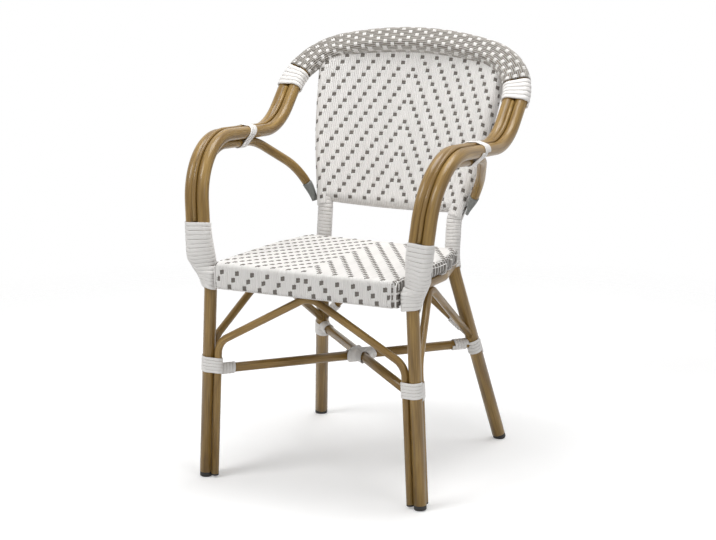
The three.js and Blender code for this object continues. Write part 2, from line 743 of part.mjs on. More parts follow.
const puckHalf = bindingHeight / 2;
const puckRadius = bindingDiameter / 2;
const puckProfile = [[0, -puckHalf], [puckRadius - bindingRounding, -puckHalf],
  [puckRadius, bindingRounding - puckHalf], [puckRadius, puckHalf - bindingRounding],
  [puckRadius - bindingRounding, puckHalf], [0, puckHalf]].map(([x, y]) => new THREE.Vector2(x, y));
const puck = new THREE.LatheGeometry(puckProfile, wideSides).rotateX(Math.PI / 2);
add('crossing_binding', cut(puck.translate(crossing.x, crossing.y, crossing.z), wholeKeepOut,
  mirroredGeometry(wholeKeepOut)), finishes.strand);

// Sleeves of cord on the ends of the stretchers and the rear brace
function addEndSleeve(name, route, radius, reach, spaces) {
  const run = route.slice(0, reach + sleeveLength);
  const whole = sleeve(run, () => [[0, 0, radius]], cordThickness, slimSides);
  addPair(name, cut(whole, ...spaces), finishes.strand);
}
addEndSleeve('front_stretcher_sleeve', frontHalfRoute, stretcherRadius, tailOffset, frontSpaces);
addEndSleeve('rear_stretcher_sleeve', rearHalfRoute, stretcherRadius, rearRadius + cordBuild, rearSpaces);
addEndSleeve('rear_brace_sleeve', rearBraceHalf, braceRadius, rearRadius, rearSpaces);

// Slim rods along the groove between the arm tubes, on the outer side of their bends
const rodOffset = Math.sqrt((armRadius + grooveRodRadius + gap) ** 2 - pairHalf ** 2);
const rodRun = pair.slice(0, hoopWrapStart - gap).shifted(0, -rodOffset);
const rodLead = rodRun.stations[0].clone().sub(cornerRoute.stations.at(-1)).dot(pairAim) - gap;
const rodFoot = rodRun.stations[0].clone().addScaledVector(pairAim, -rodLead);
const rodRoute = new Route([rodFoot, ...rodRun.stations.slice(1)], rodRun.tangents, rodRun.normals);
addPair('arm_groove_rod', tube(rodRoute, grooveRodRadius, hiddenSides), finishes.tube);

// Arm braces
const nestle = Math.sqrt((armRadius + armBraceRadius + gap) ** 2 - pairHalf ** 2) + arcSag;
const cornerShift = armFrontBend.centre.clone().sub(armFront).multiplyScalar(nestle / armFrontRadius);
const armBraceCorner = armFront.clone().add(cornerShift);
const armBraceFoot = armBraceCorner.clone().addScaledVector(pairAim, -armFront.distanceTo(pairStart));
const armTieY = armRear.y - armTieForward;
const tieMiddle = pair.passing((p) => p.y - armTieY);
const armBraceBend = mix(armRear, armFront, (armTieForward - armBraceBendBack) / (armRear.y - armFront.y))
  .addScaledVector(pair.at(tieMiddle).binormal, nestle);
const backLining = roundFit(rearRadius, 2 * backEndSteps) + 2 * gap;
const backShell = backLining + weaveThickness;
const armBraceTip = post.atHeight(backBottomHeight).point
  .addScaledVector(along, backShell + armBraceTipGap + armBraceTipThickness / 2);
const armBraceKnee = armBraceTip.clone().add(point(armBraceKneeOut, armBraceKneeBack, armBraceKneeRise));
const armBraceRoute = bent([armBraceFoot, armBraceCorner, armBraceBend, armBraceKnee, armBraceTip],
  [armFrontRadius - nestle, armBraceBendRadius, armBraceKneeRadius]);
const armBraceStart = armBraceRoute.travel[1] + armBraceInset;
const armBraceTube = armBraceRoute.slice(armBraceStart, armBraceRoute.length - armBraceEndLength);
addPair('arm_brace', tube(armBraceTube, armBraceRadius), finishes.tube);

const endRoute = armBraceRoute.slice(armBraceStart + armBraceTube.length + gap, armBraceRoute.length);
const endRings = endRoute.travel.map((distance) => {
  const share = distance / endRoute.length;
  const frame = endRoute.at(distance);
  const thick = THREE.MathUtils.lerp(armBraceRadius + armBraceEndSkin, armBraceTipThickness / 2, share);
  const wide = THREE.MathUtils.lerp(armBraceRadius + armBraceEndSkin, armBraceTipWidth / 2, share);
  return Array.from({ length: slimSides }, (_, side) => {
    const turn = 2 * Math.PI * side / slimSides;
    return placed(frame, thick * Math.cos(turn), wide * Math.sin(turn));
  });
});
addPair('arm_brace_end', loft(endRings), finishes.end);

// The tie round the arm tubes, the rod in their groove and the brace under them
const tieRoute = pair.slice(tieMiddle - armTieWidth / 2, tieMiddle + armTieWidth / 2);
const tieCircles = (distance) => [...pairCircles(), [0, -rodOffset, grooveRodRadius],
  circleBeside(tieRoute.at(distance), armBraceRoute, armBraceRadius + gap)];
addPair('arm_tie', sleeve(tieRoute, tieCircles, cordThickness, legCordSteps), finishes.strand);

// Back: a woven sleeve round both posts, bowed backwards between them, up to the hoop
const bowShares = [-1, -0.85, -0.6, -0.3, 0, 0.3, 0.6, 0.85, 1];
const backLine = bent([waist, postFoot, postMiddle, postTop.clone().add(postTop).sub(postMiddle)],
  [postFootRadius, postMiddleRadius]);
const bowOf = (halfWidth) => {
  const radius = (halfWidth ** 2 + backBow ** 2) / (2 * backBow);
  return { radius, swing: Math.asin(halfWidth / radius) };
};

// A point of the back at a share of its half width, facing the front at side 0 and the rear at PI.
function backPoint(share, side, height, shell) {
  const { point: axis, tangent } = backLine.atHeight(height);
  const { radius, swing } = bowOf(axis.x);
  const turn = swing * share;
  const upward = point(tangent.x * share, tangent.y, tangent.z).normalize();
  const across = along.clone().addScaledVector(upward, -upward.x).normalize();
  const forward = across.clone().cross(upward);
  return point(radius * Math.sin(turn), axis.y, axis.z)
    .addScaledVector(forward, radius * (Math.cos(swing) - Math.cos(turn)) + Math.cos(turn + side) * shell)
    .addScaledVector(across, -Math.sin(turn + side) * shell);
}

const hoopHeightAt = (x) => innerArm.at(innerArm.passing((p) => (p.z > postMiddle.z ? p.x - x : 1))).point.z;

// One loop round the back at a share of its height: rear layer, one end, front layer, other end.
function backRing(rise, shell) {
  const endTurns = Array.from({ length: backEndSteps - 1 }, (_, step) => Math.PI * (step + 1) / backEndSteps);
  const spots = [
    ...bowShares.map((share) => [share, Math.PI]),
    ...endTurns.map((turn) => [1, Math.PI + turn]),
    ...bowShares.map((share) => [-share, 0]),
    ...endTurns.map((turn) => [-1, turn]),
  ];
  return spots.reverse().map(([share, side]) => {
    const top = hoopHeightAt(postTop.x * share) - armRadius * Math.cos(side);
    return backPoint(share, side, THREE.MathUtils.lerp(backBottomHeight, top, rise), shell);
  });
}

const backRows = Math.round((postTop.z - backBottomHeight) / backRowRise);
const backRowShares = Array.from({ length: backRows + 1 }, (_, row) => row / backRows);
const backRings = (shell) => backRowShares.map((rise) => backRing(rise, shell));
const backSleeve = loft([...backRings(backShell), ...backRings(backLining).reverse()], true);
add('back_weave', cut(backSleeve, bandSpace), finishes.strand);

const railAxis = backPoint(1, 0, backBottomHeight + backRailRise, 0);
const railBow = bowOf(railAxis.x);
const railCorner = railAxis.clone().setX(0);
railCorner.addScaledVector(backPoint(0, 0, railAxis.z, 0).sub(railCorner).normalize(),
  railAxis.x * Math.tan(railBow.swing));
add('back_rail', cut(tube(bent([railAxis, railCorner, mirror(railAxis)], [railBow.radius], up),
  backRailRadius, hiddenSides), postKeepOut, mirroredGeometry(postKeepOut)), finishes.tube);

// Feet, cut flat where they stand, and the caps on the brace ends
const floor = new THREE.BoxGeometry(footHalfWidth, footHalfWidth, footHalfWidth);

function footOn(line, radius) {
  const below = line.stations[0].clone().addScaledVector(line.tangents[0], -footHeight);
  const stem = tube(bent([below, line.at(footHeight - gap).point], []), radius, wideSides);
  const ground = floor.clone().translate(below.x, below.y, -footHalfWidth / 2);
  return cut(stem, ground);
}
addPair('front_foot', footOn(legLine, armRadius), finishes.foot);
addPair('rear_foot', footOn(rearLine, rearRadius), finishes.foot);

function tailCap(tail) {
  const top = tail(tailEndHeight - gap);
  return tube(bent([tail(gap + tailEndHeight / 2), top], []), braceRadius, slimSides);
}
addPair('inner_tail_cap', tailCap(innerTail), finishes.foot);
addPair('rear_tail_cap', tailCap(rearTail), finishes.foot);

for (const { name, least } of leastGaps) {
  console.log(`${name}: least gap between turns ${least.toFixed(2)} mm`);
}

// The origin is the middle of the chair on the floor.
const bounds = new THREE.Box3().setFromObject(chair);
chair.position.y = -(bounds.min.y + bounds.max.y) / 2;

export default chair;
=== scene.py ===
import math

import bpy
import numpy as np
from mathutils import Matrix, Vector


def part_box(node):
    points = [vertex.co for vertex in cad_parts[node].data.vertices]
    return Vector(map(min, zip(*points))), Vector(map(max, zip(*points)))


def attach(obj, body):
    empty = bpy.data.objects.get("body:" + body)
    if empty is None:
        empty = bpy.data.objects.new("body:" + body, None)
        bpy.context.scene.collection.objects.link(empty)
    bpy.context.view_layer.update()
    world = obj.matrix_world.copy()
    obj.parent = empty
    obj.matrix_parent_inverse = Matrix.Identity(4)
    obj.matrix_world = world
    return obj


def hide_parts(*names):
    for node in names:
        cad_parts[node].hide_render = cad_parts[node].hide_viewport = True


# A bistro armchair of bent tubes, wound with flat cord and woven with flat strands. Each piece
# stands where the CAD node that it shows stands. Lengths are millimetres until a mesh is made.

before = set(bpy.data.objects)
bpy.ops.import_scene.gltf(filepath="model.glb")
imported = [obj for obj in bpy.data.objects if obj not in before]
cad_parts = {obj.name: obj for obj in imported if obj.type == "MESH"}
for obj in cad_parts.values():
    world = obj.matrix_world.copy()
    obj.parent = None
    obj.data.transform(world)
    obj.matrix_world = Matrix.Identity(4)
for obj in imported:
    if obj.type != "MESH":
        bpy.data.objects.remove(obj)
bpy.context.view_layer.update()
millimetre = 0.001
gap = 0.3
random = np.random.default_rng(7)
facets = {"tube": 28, "rounding": 4, "bend": math.radians(3), "turn": 44, "loop": 48, "edge": 8, "lap": 12,
          "patch": 9}
nearest = {"station": 0.05, "arc": 0.3}   # stations nearer to each other than this become one


# Lines

def unit(vectors):
    # v / |v|, along the last axis
    return vectors / np.linalg.norm(vectors, axis=-1, keepdims=True)


def spot(x, y, z):
    return np.array([x, y, z], float)


def mix(a, b, share):
    return a + (b - a) * share


def mirror(points):
    # (x, y, z) -> (-x, y, z)
    return points * np.array([-1.0, 1.0, 1.0])


def smooth(values):
    # 3 t^2 - 2 t^3 for t held between 0 and 1
    t = np.clip(values, 0, 1)
    return t * t * (3 - 2 * t)


def travelled(points):
    # The distance along the points, from 0 at the first
    return np.concatenate([[0], np.cumsum(np.linalg.norm(np.diff(points, axis=0), axis=1))])


class Route:
    # Stations with a square frame at each: tangent, normal, and binormal = tangent x normal
    def __init__(self, points, tangents, normals):
        self.points = np.asarray(points, float)
        self.tangents = np.asarray(tangents, float)
        self.normals = np.asarray(normals, float)
        self.binormals = np.cross(self.tangents, self.normals)
        self.travel = travelled(self.points)
        self.length = self.travel[-1]

    def between(self, values, distance):
        return np.stack([np.interp(distance, self.travel, values[:, k]) for k in range(3)], -1)

    def at(self, distance):
        # The frame at one distance or at an array of them: each vector mixed between two stations.
        # Past an end, the point goes on along the tangent.
        tangent = unit(self.between(self.tangents, distance))
        past = np.asarray(distance - np.clip(distance, 0, self.length))[..., None]
        return (self.between(self.points, distance) + tangent * past, tangent,
                unit(self.between(self.normals, distance)), unit(self.between(self.binormals, distance)))

    def passing(self, values, level):
        # The first distance at which the values, one for each station, pass the level
        over = values - level
        crossed = np.nonzero(over[:-1] * over[1:] <= 0)[0]
        if len(crossed) == 0:
            return 0.0 if abs(over[0]) < abs(over[-1]) else self.length
        i = crossed[0]
        share = over[i] / (over[i] - over[i + 1])
        return mix(self.travel[i], self.travel[i + 1], share)

    def atHeight(self, height):
        return self.at(self.passing(self.points[:, 2], height))

    def slice(self, start, end, step=None):
        # The part from start to end, with its own stations or with one at each step
        if step is None:
            clear = nearest["station"]
            inside = self.travel[(self.travel > start + clear) & (self.travel < end - clear)]
            distances = np.concatenate([[start], inside, [end]])
        else:
            distances = np.linspace(start, end, max(2, int(math.ceil((end - start) / step)) + 1))
        point, tangent, normal, _ = self.at(distances)
        return Route(point, tangent, normal)

    def betweenHeights(self, low, high):
        heights = self.points[:, 2]
        return self.slice(self.passing(heights, low), self.passing(heights, high))

    def shifted(self, across, lift=0.0):
        moved = self.points + self.normals * across + self.binormals * lift
        return Route(moved, self.tangents, self.normals)

    def joined(self, other):
        # The other's frames are turned half round where they face the other way at the join
        facing = np.sign(self.normals[-1] @ other.normals[0])
        return Route(np.concatenate([self.points, other.points]),
                     np.concatenate([self.tangents, other.tangents]),
                     np.concatenate([self.normals, other.normals * facing]))

    def reversed(self):
        return Route(self.points[::-1], -self.tangents[::-1], self.normals[::-1])

    def mirrored(self):
        return Route(mirror(self.points), mirror(self.tangents), -mirror(self.normals))


def turned(vectors, axis, angle):
    # Rodrigues: v cos a + (k x v) sin a + k (k . v)(1 - cos a)
    dot = (vectors @ axis)[..., None]
    return (vectors * np.cos(angle) + np.cross(axis, vectors) * np.sin(angle)
            + axis * dot * (1 - np.cos(angle)))


def bendAt(before, corner, after, radius):
    # run = r / tan(half the corner's angle) on both sides; the centre lies r / sin(half) away
    back = unit(before - corner)
    on = unit(after - corner)
    half = math.acos(np.clip(back @ on, -1, 1)) / 2
    centre = corner + unit(back + on) * radius / math.sin(half)
    return back, on, radius / math.tan(half), centre, math.pi - 2 * half


def meetingRadius(first, previous, corner, after, previousRadius):
    # The radius of a bend that starts where the bend before it ends
    room = np.linalg.norm(previous - corner) - bendAt(first, previous, corner, previousRadius)[2]
    half = math.acos(unit(previous - corner) @ unit(after - corner)) / 2
    return room * math.tan(half)


def bent(corners, radii, firstNormal=(1.0, 0.0, 0.0)):
    # Straight runs with a round bend at each inner corner, and normals carried without twist
    points = [corners[0]]
    tangents = [unit(corners[1] - corners[0])]
    for before, corner, after, radius in zip(corners, corners[1:], corners[2:], radii):
        back, on, run, centre, turn = bendAt(before, corner, after, radius)
        start = corner + back * run
        axis = unit(np.cross(-back, on))
        steps = max(1, math.ceil(turn / facets["bend"]))
        skip = 1 if np.linalg.norm(start - points[-1]) < nearest["arc"] else 0
        for angle in turn * np.arange(skip, steps + 1) / steps:
            points.append(turned(start - centre, axis, angle) + centre)
            tangents.append(turned(-back, axis, angle))
    points.append(corners[-1])
    tangents.append(unit(corners[-1] - corners[-2]))
    normals = [np.array(firstNormal, float)]
    for tangent in tangents:
        normals.append(unit(normals[-1] - tangent * (normals[-1] @ tangent)))
    return Route(points, tangents, normals[1:])


def beside(frames, line):
    # Where a line passes the plane of each frame: (offset . n, offset . b), from the crossing of
    # (line - p) . t through zero
    found = []
    for p, t, n, b in zip(*frames):
        meeting = line.at(line.passing((line.points - p) @ t, 0.0))[0] - p
        found.append((meeting @ n, meeting @ b))
    return np.array(found)


def placed(frames, x, y):
    # p + n x + b y, for numbers or arrays of them
    point, _, normal, binormal = frames
    return point + normal * np.asarray(x)[..., None] + binormal * np.asarray(y)[..., None]


# Meshes

class Body:
    # Vertices in millimetres, triangles, and two values for each vertex that the paint reads
    def __init__(self, points, faces, grain, shade):
        self.points = points
        self.faces = faces
        self.grain = grain
        self.shade = shade

    def mirrored(self):
        return Body(mirror(self.points), self.faces[:, ::-1], self.grain, self.shade)


def together(bodies):
    offsets = np.cumsum([0] + [len(body.points) for body in bodies[:-1]])
    return Body(np.concatenate([body.points for body in bodies]),
                np.concatenate([body.faces + offset for body, offset in zip(bodies, offsets)]),
                np.concatenate([body.grain for body in bodies]),
                np.concatenate([body.shade for body in bodies]))


def skin(rings, grain, shade=0.0, closed=False):
    # rings[i, j] is corner j of ring i. Faces look outwards when a ring runs anticlockwise about
    # the direction of travel. An open run gets a fan over each end. grain is (across, up, along).
    count, sides = rings.shape[:2]
    i = np.arange(count if closed else count - 1)[:, None]
    j = np.arange(sides)[None, :]
    here = i * sides
    there = (i + 1) % count * sides
    other = (j + 1) % sides
    a, b, c, d = here + j, here + other, there + other, there + j
    faces = [np.stack([a, b, c], -1).reshape(-1, 3), np.stack([a, c, d], -1).reshape(-1, 3)]
    if not closed:
        k = np.arange(1, sides - 1)
        last = (count - 1) * sides
        faces.append(np.stack([np.zeros_like(k), k + 1, k], -1))
        faces.append(np.stack([np.full_like(k, last), last + k, last + k + 1], -1))
    points = rings.reshape(-1, 3)
    grain = np.stack(np.broadcast_arrays(*grain), -1).reshape(-1, 3)
    return Body(points, np.concatenate(faces), grain, np.full(len(points), shade))


def tubeBody(route, radius, rounding=0.0):
    # p + r (n cos a + b sin a). A rounding closes the radius in a quarter circle at both ends.
    angles = 2 * np.pi * np.arange(facets["tube"]) / facets["tube"]
    distances = route.travel
    radii = np.full(len(distances), float(radius))
    if rounding:
        quarter = np.linspace(0, np.pi / 2, facets["rounding"] + 1)[:-1]
        lead = rounding * (1 - np.cos(quarter))
        small = radius - rounding * (1 - np.sin(quarter))
        inside = distances[(distances > rounding) & (distances < route.length - rounding)]
        distances = np.concatenate([lead, inside, (route.length - lead)[::-1]])
        radii = np.concatenate([small, np.full(len(inside), float(radius)), small[::-1]])
    distances = distances[:, None]
    x = radii[:, None] * np.cos(angles)
    y = radii[:, None] * np.sin(angles)
    return skin(placed(route.at(distances), x, y), (x, y, distances))


# The sections of a flat strand and of the cord, as shares of half the width and half the thickness
strandSection = np.array([[-1, -0.9], [-1, 0.25], [-0.62, 1], [0.62, 1], [1, 0.25], [1, -0.9]])
cordSection = np.array([[-0.9, -1], [-1, -0.5], [-1, 0.3], [-0.8, 0.85], [-0.35, 1],
                        [0.35, 1], [0.8, 0.85], [1, 0.3], [1, -0.5], [0.9, -1]])
grainShift = 40   # how far apart two strands of different shade lie in the noise


def ribbon(points, outward, width, thickness, shade):
    # A flat strand along the points: p + w x s + t y o, with s = o x d and d the direction
    along = unit(np.gradient(points, axis=0))
    outward = unit(outward - along * np.sum(outward * along, -1, keepdims=True))
    side = np.cross(outward, along)
    x = strandSection[:, 0] * width / 2
    y = strandSection[:, 1] * thickness / 2
    rings = points[:, None] + side[:, None] * x[:, None] + outward[:, None] * y[:, None]
    return skin(rings[:, ::-1], (x, y + grainShift * shade, travelled(points)[:, None]), shade)


# Shapes are made at the CAD's own places, and moved along Y to where the frame has them
frontLegY = -225.5
footLow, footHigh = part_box("front_foot_right")
middleShift = (footLow[1] + footHigh[1]) / 2 / millimetre - frontLegY

materials = {}


def piece(name, body, paint, nodes=()):
    points = (body.points + spot(0, middleShift, 0)) * millimetre
    faces = body.faces.astype(np.int32)
    mesh = bpy.data.meshes.new(name)
    mesh.vertices.add(len(points))
    mesh.vertices.foreach_set("co", points.astype(np.float32).ravel())
    mesh.loops.add(faces.size)
    mesh.loops.foreach_set("vertex_index", faces.ravel())
    mesh.polygons.add(len(faces))
    mesh.polygons.foreach_set("loop_start", np.arange(0, faces.size, 3, dtype=np.int32))
    mesh.polygons.foreach_set("use_smooth", np.ones(len(faces), bool))
    grainData = mesh.attributes.new("grain", "FLOAT_VECTOR", "POINT").data
    grainData.foreach_set("vector", body.grain.astype(np.float32).ravel())
    shadeData = mesh.attributes.new("shade", "FLOAT", "POINT").data
    shadeData.foreach_set("value", body.shade.astype(np.float32))
    mesh.update(calc_edges=True)
    mesh.validate()
    mesh.materials.append(materials[paint])
    made = bpy.data.objects.new(name, mesh)
    bpy.context.scene.collection.objects.link(made)
    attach(made, "root")
    if nodes:
        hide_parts(*nodes)


def pairPiece(name, body, paint, node):
    for side, shape in (("right", body), ("left", body.mirrored())):
        piece(f"{name}_{side}", shape, paint, [f"{node}_{side}"])


# Winding

cord = {"thickness": 2.0, "slit": 0.35, "wander": 0.6, "tone": 0.5}


def wound(route, circlesAt, turns, thickness=cord["thickness"], tilt=0.0):
    # A strap in one unbroken run. At turn angle a its middle lies at s = w / 2 + run a / whole, and
    # its section at c + (r + gap + t) d, where d = (cos a, sin a) and the circle (c, r) is the one
    # that reaches furthest along d.
    width = route.length / turns - cord["slit"]
    count = facets["turn"] * (turns - 1) + 1
    angle = np.linspace(0, 2 * np.pi * (turns - 1), count)
    astray = random.uniform(-0.5, 0.5, turns + 1) * cord["slit"] * cord["wander"]
    middle = width / 2 + (route.length - width) * np.linspace(0, 1, count)
    middle = middle + np.interp(angle, 2 * np.pi * np.arange(turns + 1), astray) + tilt * np.sin(angle)
    across = cordSection[:, 0] * width / 2
    s = middle[:, None] + across
    grow = gap + thickness * (cordSection[:, 1] + 1) / 2
    circles = circlesAt(s)
    cosine = np.cos(angle)[:, None]
    sine = np.sin(angle)[:, None]
    reach = circles[..., 0] * cosine[..., None] + circles[..., 1] * sine[..., None] + circles[..., 2]
    best = np.argmax(reach.mean(1), axis=-1)
    chosen = np.take_along_axis(circles, best[:, None, None, None], axis=2)[..., 0, :]
    x = chosen[..., 0] + (chosen[..., 2] + grow) * cosine
    y = chosen[..., 1] + (chosen[..., 2] + grow) * sine
    rings = placed(route.at(s), x, y)
    along = travelled(rings[:, 0])[:, None]
    return skin(rings, (across, cordSection[:, 1] * thickness / 2, along), cord["tone"])


def constant(circles):
    # The same circles all along the route
    table = np.array(circles, float)
    return lambda s: np.broadcast_to(table, s.shape + table.shape)


# Paint

class Wire:
    # An output socket of a graph. Sums of wires and numbers become Math nodes.
    def __init__(self, graph, socket):
        self.graph = graph
        self.socket = socket

    def maths(self, operation, first, second):
        return self.graph.node("ShaderNodeMath", {"operation": operation}, {0: first, 1: second})

    def __add__(self, other):
        return self.maths("ADD", self, other)

    def __sub__(self, other):
        return self.maths("SUBTRACT", self, other)

    def __rsub__(self, other):
        return self.maths("SUBTRACT", other, self)

    def __mul__(self, other):
        return self.maths("MULTIPLY", self, other)

    def __truediv__(self, other):
        return self.maths("DIVIDE", self, other)

    __radd__ = __add__
    __rmul__ = __mul__

    def held(self):
        # The value held between 0 and 1
        return self.graph.node("ShaderNodeClamp", {}, {"Value": self})

    def sibling(self, output):
        # Another output of the same node
        return Wire(self.graph, self.socket.node.outputs[output])


class Graph:
    def __init__(self, tree):
        self.tree = tree
        self.tree.nodes.clear()

    def node(self, kind, settings, inputs, output=0):
        made = self.tree.nodes.new(kind)
        for key, value in settings.items():
            setattr(made, key, value)
        for key, value in inputs.items():
            if isinstance(value, Wire):
                self.tree.links.new(value.socket, made.inputs[key])
            else:
                made.inputs[key].default_value = value
        return Wire(self, made.outputs[output]) if len(made.outputs) else None

    def attribute(self, name, output):
        return self.node("ShaderNodeAttribute", {"attribute_name": name}, {}, output)

    def noise(self, place, scale, detail, roughness):
        # Noise at the place times scale, one scale for each axis
        stretched = self.node("ShaderNodeVectorMath", {"operation": "MULTIPLY"}, {0: place, 1: scale})
        return self.node("ShaderNodeTexNoise", {}, {
            "Vector": stretched, "Scale": 1.0, "Detail": detail, "Roughness": roughness}, "Fac")

    def colour(self, share, first, second):
        # first + (second - first) share, for colours, which are a Mix node's sockets 6, 7 and 2
        return self.node("ShaderNodeMix", {"data_type": "RGBA"}, {0: share, 6: first, 7: second}, 2)

    def bump(self, height, distance, strength):
        return self.node("ShaderNodeBump", {}, {"Height": height, "Distance": distance, "Strength": strength})

    def surface(self, settings):
        shader = self.node("ShaderNodeBsdfPrincipled", {}, settings)
        self.node("ShaderNodeOutputMaterial", {}, {"Surface": shader})

    def seenRays(self):
        # 1 for a ray of the camera, and for one that shows a thing in gloss or through glass
        rays = self.node("ShaderNodeLightPath", {}, {}, "Is Camera Ray")
        return (rays + rays.sibling("Is Glossy Ray") + rays.sibling("Is Transmission Ray")).held()


def paintGraph(name):
    material = bpy.data.materials.new(name)
    material.use_nodes = True
    materials[name] = material
    return Graph(material.node_tree)


def linear(red, green, blue):
    # Display values from 0 to 255 to linear light: ((v + 0.055) / 1.055) ^ 2.4
    values = np.array([red, green, blue]) / 255
    light = np.where(values <= 0.04045, values / 12.92, ((values + 0.055) / 1.055) ** 2.4)
    return (*light, 1.0)


print("materials")

# The tubes' cane finish: fine streaks along the tube over larger pale patches. A noise goes through
# (value - from) times gain.
tubePaint = {
    "dark": linear(64, 44, 14), "body": linear(134, 103, 48), "pale": linear(170, 137, 76),
    "streakScale": (1.1, 1.1, 0.012), "streakDetail": (3.0, 0.6), "streakFrom": 0.38, "streakGain": 4.0,
    "patchScale": (0.10, 0.10, 0.009), "patchDetail": (2.0, 0.5), "patchFrom": 0.35, "patchGain": 3.0,
    "darkShare": 0.45, "roughness": 0.30, "rougher": 0.12, "bumpDepth": 0.0002, "bumpStrength": 0.4,
    "specular": 0.3, "coat": 0.3, "coatRoughness": 0.12,
}
graph = paintGraph("tube")
place = graph.attribute("grain", "Vector")
streak = graph.noise(place, tubePaint["streakScale"], *tubePaint["streakDetail"])
patch = graph.noise(place, tubePaint["patchScale"], *tubePaint["patchDetail"])
streaks = ((streak - tubePaint["streakFrom"]) * tubePaint["streakGain"]).held()
patches = ((patch - tubePaint["patchFrom"]) * tubePaint["patchGain"]).held()
base = graph.colour(patches, tubePaint["body"], tubePaint["pale"])
graph.surface({
    "Base Color": graph.colour((1.0 - streaks) * tubePaint["darkShare"], base, tubePaint["dark"]),
    "Roughness": streak * tubePaint["rougher"] + tubePaint["roughness"],
    "Normal": graph.bump(streak, tubePaint["bumpDepth"], tubePaint["bumpStrength"]),
    "Specular IOR Level": tubePaint["specular"], "Coat Weight": tubePaint["coat"],
    "Coat Roughness": tubePaint["coatRoughness"],
})

# The strands: fine lines along each, and a tone of its own. Each has its dark and light colour, and
# its roughness.
strandPaint = {
    "colours": {
        "strand": (linear(216, 213, 210), linear(240, 238, 235), 0.55),
        # The cross strands are the same dark strand as the hoop band's, coloured darker: their own dark
        # colour with painted shade on top
        "cross": (linear(98, 93, 88), linear(122, 117, 110), 0.5),
        "band": (linear(118, 113, 107), linear(196, 191, 184), 0.5),
        "end": (linear(104, 105, 102), linear(146, 148, 145), 0.5),
    },
    "fibreScale": (3.0, 1.0, 0.06), "fibreDetail": (2.0, 0.5), "fibreShare": 0.4, "toneShare": 0.6,
    "bumpDepth": 0.0002, "bumpStrength": 0.3, "specular": 0.35,
}
for name, (dark, light, roughness) in strandPaint["colours"].items():
    graph = paintGraph(name)
    fibre = graph.noise(graph.attribute("grain", "Vector"), strandPaint["fibreScale"],
                        *strandPaint["fibreDetail"])
    tone = graph.attribute("shade", "Fac") * strandPaint["toneShare"] + fibre * strandPaint["fibreShare"]
    graph.surface({
        "Base Color": graph.colour(tone.held(), dark, light), "Roughness": roughness,
        "Normal": graph.bump(fibre, strandPaint["bumpDepth"], strandPaint["bumpStrength"]),
        "Specular IOR Level": strandPaint["specular"],
    })
paintGraph("foot").surface({"Base Color": linear(30, 27, 25), "Roughness": 0.55})


print("frame tubes")

# Two tubes run side by side over the arms and the hoop. Each corner is one of the line between them.
arm = {
    "radius": 12.7, "footHalfWidth": 237.0, "legTop": (217.0, 425.0), "legBend": 120.0, "footHeight": 10.0,
    "frontCorner": (237.0, -237.9, 505.0), "front": (254.1, -218.7, 689.7), "frontBend": 127.0,
    "rear": (257.2, 120.7, 660.0), "rearBend": 131.0, "hoop": (257.0, 265.2, 803.9), "hoopBend": 126.0,
    "crown": (0.0, 318.0, 861.2), "pairStart": 545.0, "outerEnd": 471.0,
}
pairHalf = arm["radius"] + gap / 2
legTop = spot(arm["legTop"][0], frontLegY, arm["legTop"][1])
legLine = bent([spot(arm["footHalfWidth"], frontLegY, 0), legTop], [])
frontCorner = spot(*arm["frontCorner"])
armFront = spot(*arm["front"])
armRear = spot(*arm["rear"])
hoopCorner = spot(*arm["hoop"])
crown = spot(*arm["crown"])
crownBend = meetingRadius(armRear, hoopCorner, crown, mirror(hoopCorner), arm["hoopBend"])
pairStart = mix(frontCorner, armFront, (arm["pairStart"] - frontCorner[2]) / (armFront[2] - frontCorner[2]))
pairCorners = [pairStart, armFront, armRear, hoopCorner]
pairBends = [arm["frontBend"], arm["rearBend"], arm["hoopBend"]]
pair = bent(pairCorners + [crown] + [mirror(corner) for corner in pairCorners[::-1]],
            pairBends + [crownBend] + pairBends[::-1])
innerArm = pair.shifted(-pairHalf)
outerArm = pair.shifted(pairHalf)
pairAim = unit(armFront - frontCorner)
innerCorner = innerArm.points[0] - pairAim * np.linalg.norm(pairStart - frontCorner)
legStart = legLine.atHeight(arm["footHeight"])[0]
legRoute = bent([legStart, legTop, innerCorner, innerArm.points[0]], [arm["legBend"], arm["legBend"]])
legRun = legRoute.slice(0, legRoute.length - gap)
innerTube = legRun.joined(innerArm).joined(legRun.mirrored().reversed())
outerFoot = outerArm.points[0] - pairAim * (arm["pairStart"] - arm["outerEnd"]) / pairAim[2]
outerLead = bent([outerFoot, outerArm.points[0] - pairAim * gap], [])
outerTube = outerLead.joined(outerArm).joined(outerLead.mirrored().reversed())
piece("frontLegAndArmTube", tubeBody(innerTube, arm["radius"]), "tube", ["front_leg_and_arm_tube"])
piece("outerArmTube", tubeBody(outerTube, arm["radius"]), "tube", ["outer_arm_tube"])

# One tube from the rear foot up the side of the back
rear = {
    "radius": 13.75, "foot": (214.1, 259.3), "waist": (147.5, 137.5, 404.0),
    "postFoot": (147.5, 149.5, 498.0), "postMiddle": (182.0, 208.5, 651.0),
    "postTop": (197.0, 264.5, 789.0), "bends": (150.0, 90.0, 1200.0),
}
waist = spot(*rear["waist"])
postFoot = spot(*rear["postFoot"])
postMiddle = spot(*rear["postMiddle"])
postTop = spot(*rear["postTop"])
rearLine = bent([spot(*rear["foot"], 0), waist], [])
rearStart = rearLine.atHeight(arm["footHeight"])[0]
post = bent([rearStart, waist, postFoot, postMiddle, postTop], rear["bends"])
pairPiece("rearLegAndPost", tubeBody(post, rear["radius"]), "tube", "rear_leg_and_post")

brace = {
    "radius": 7.75, "tailEnd": 9.0, "tailBend": 285.0, "tailRadius": 40.0, "apexRadius": 24.0,
    "frontApex": 13.0, "sideApex": (-55.0, 10.0), "rearApex": 25.0, "sideEnd": 246.0, "rearEnd": 248.0,
}
tailOffset = arm["radius"] + brace["radius"] + gap

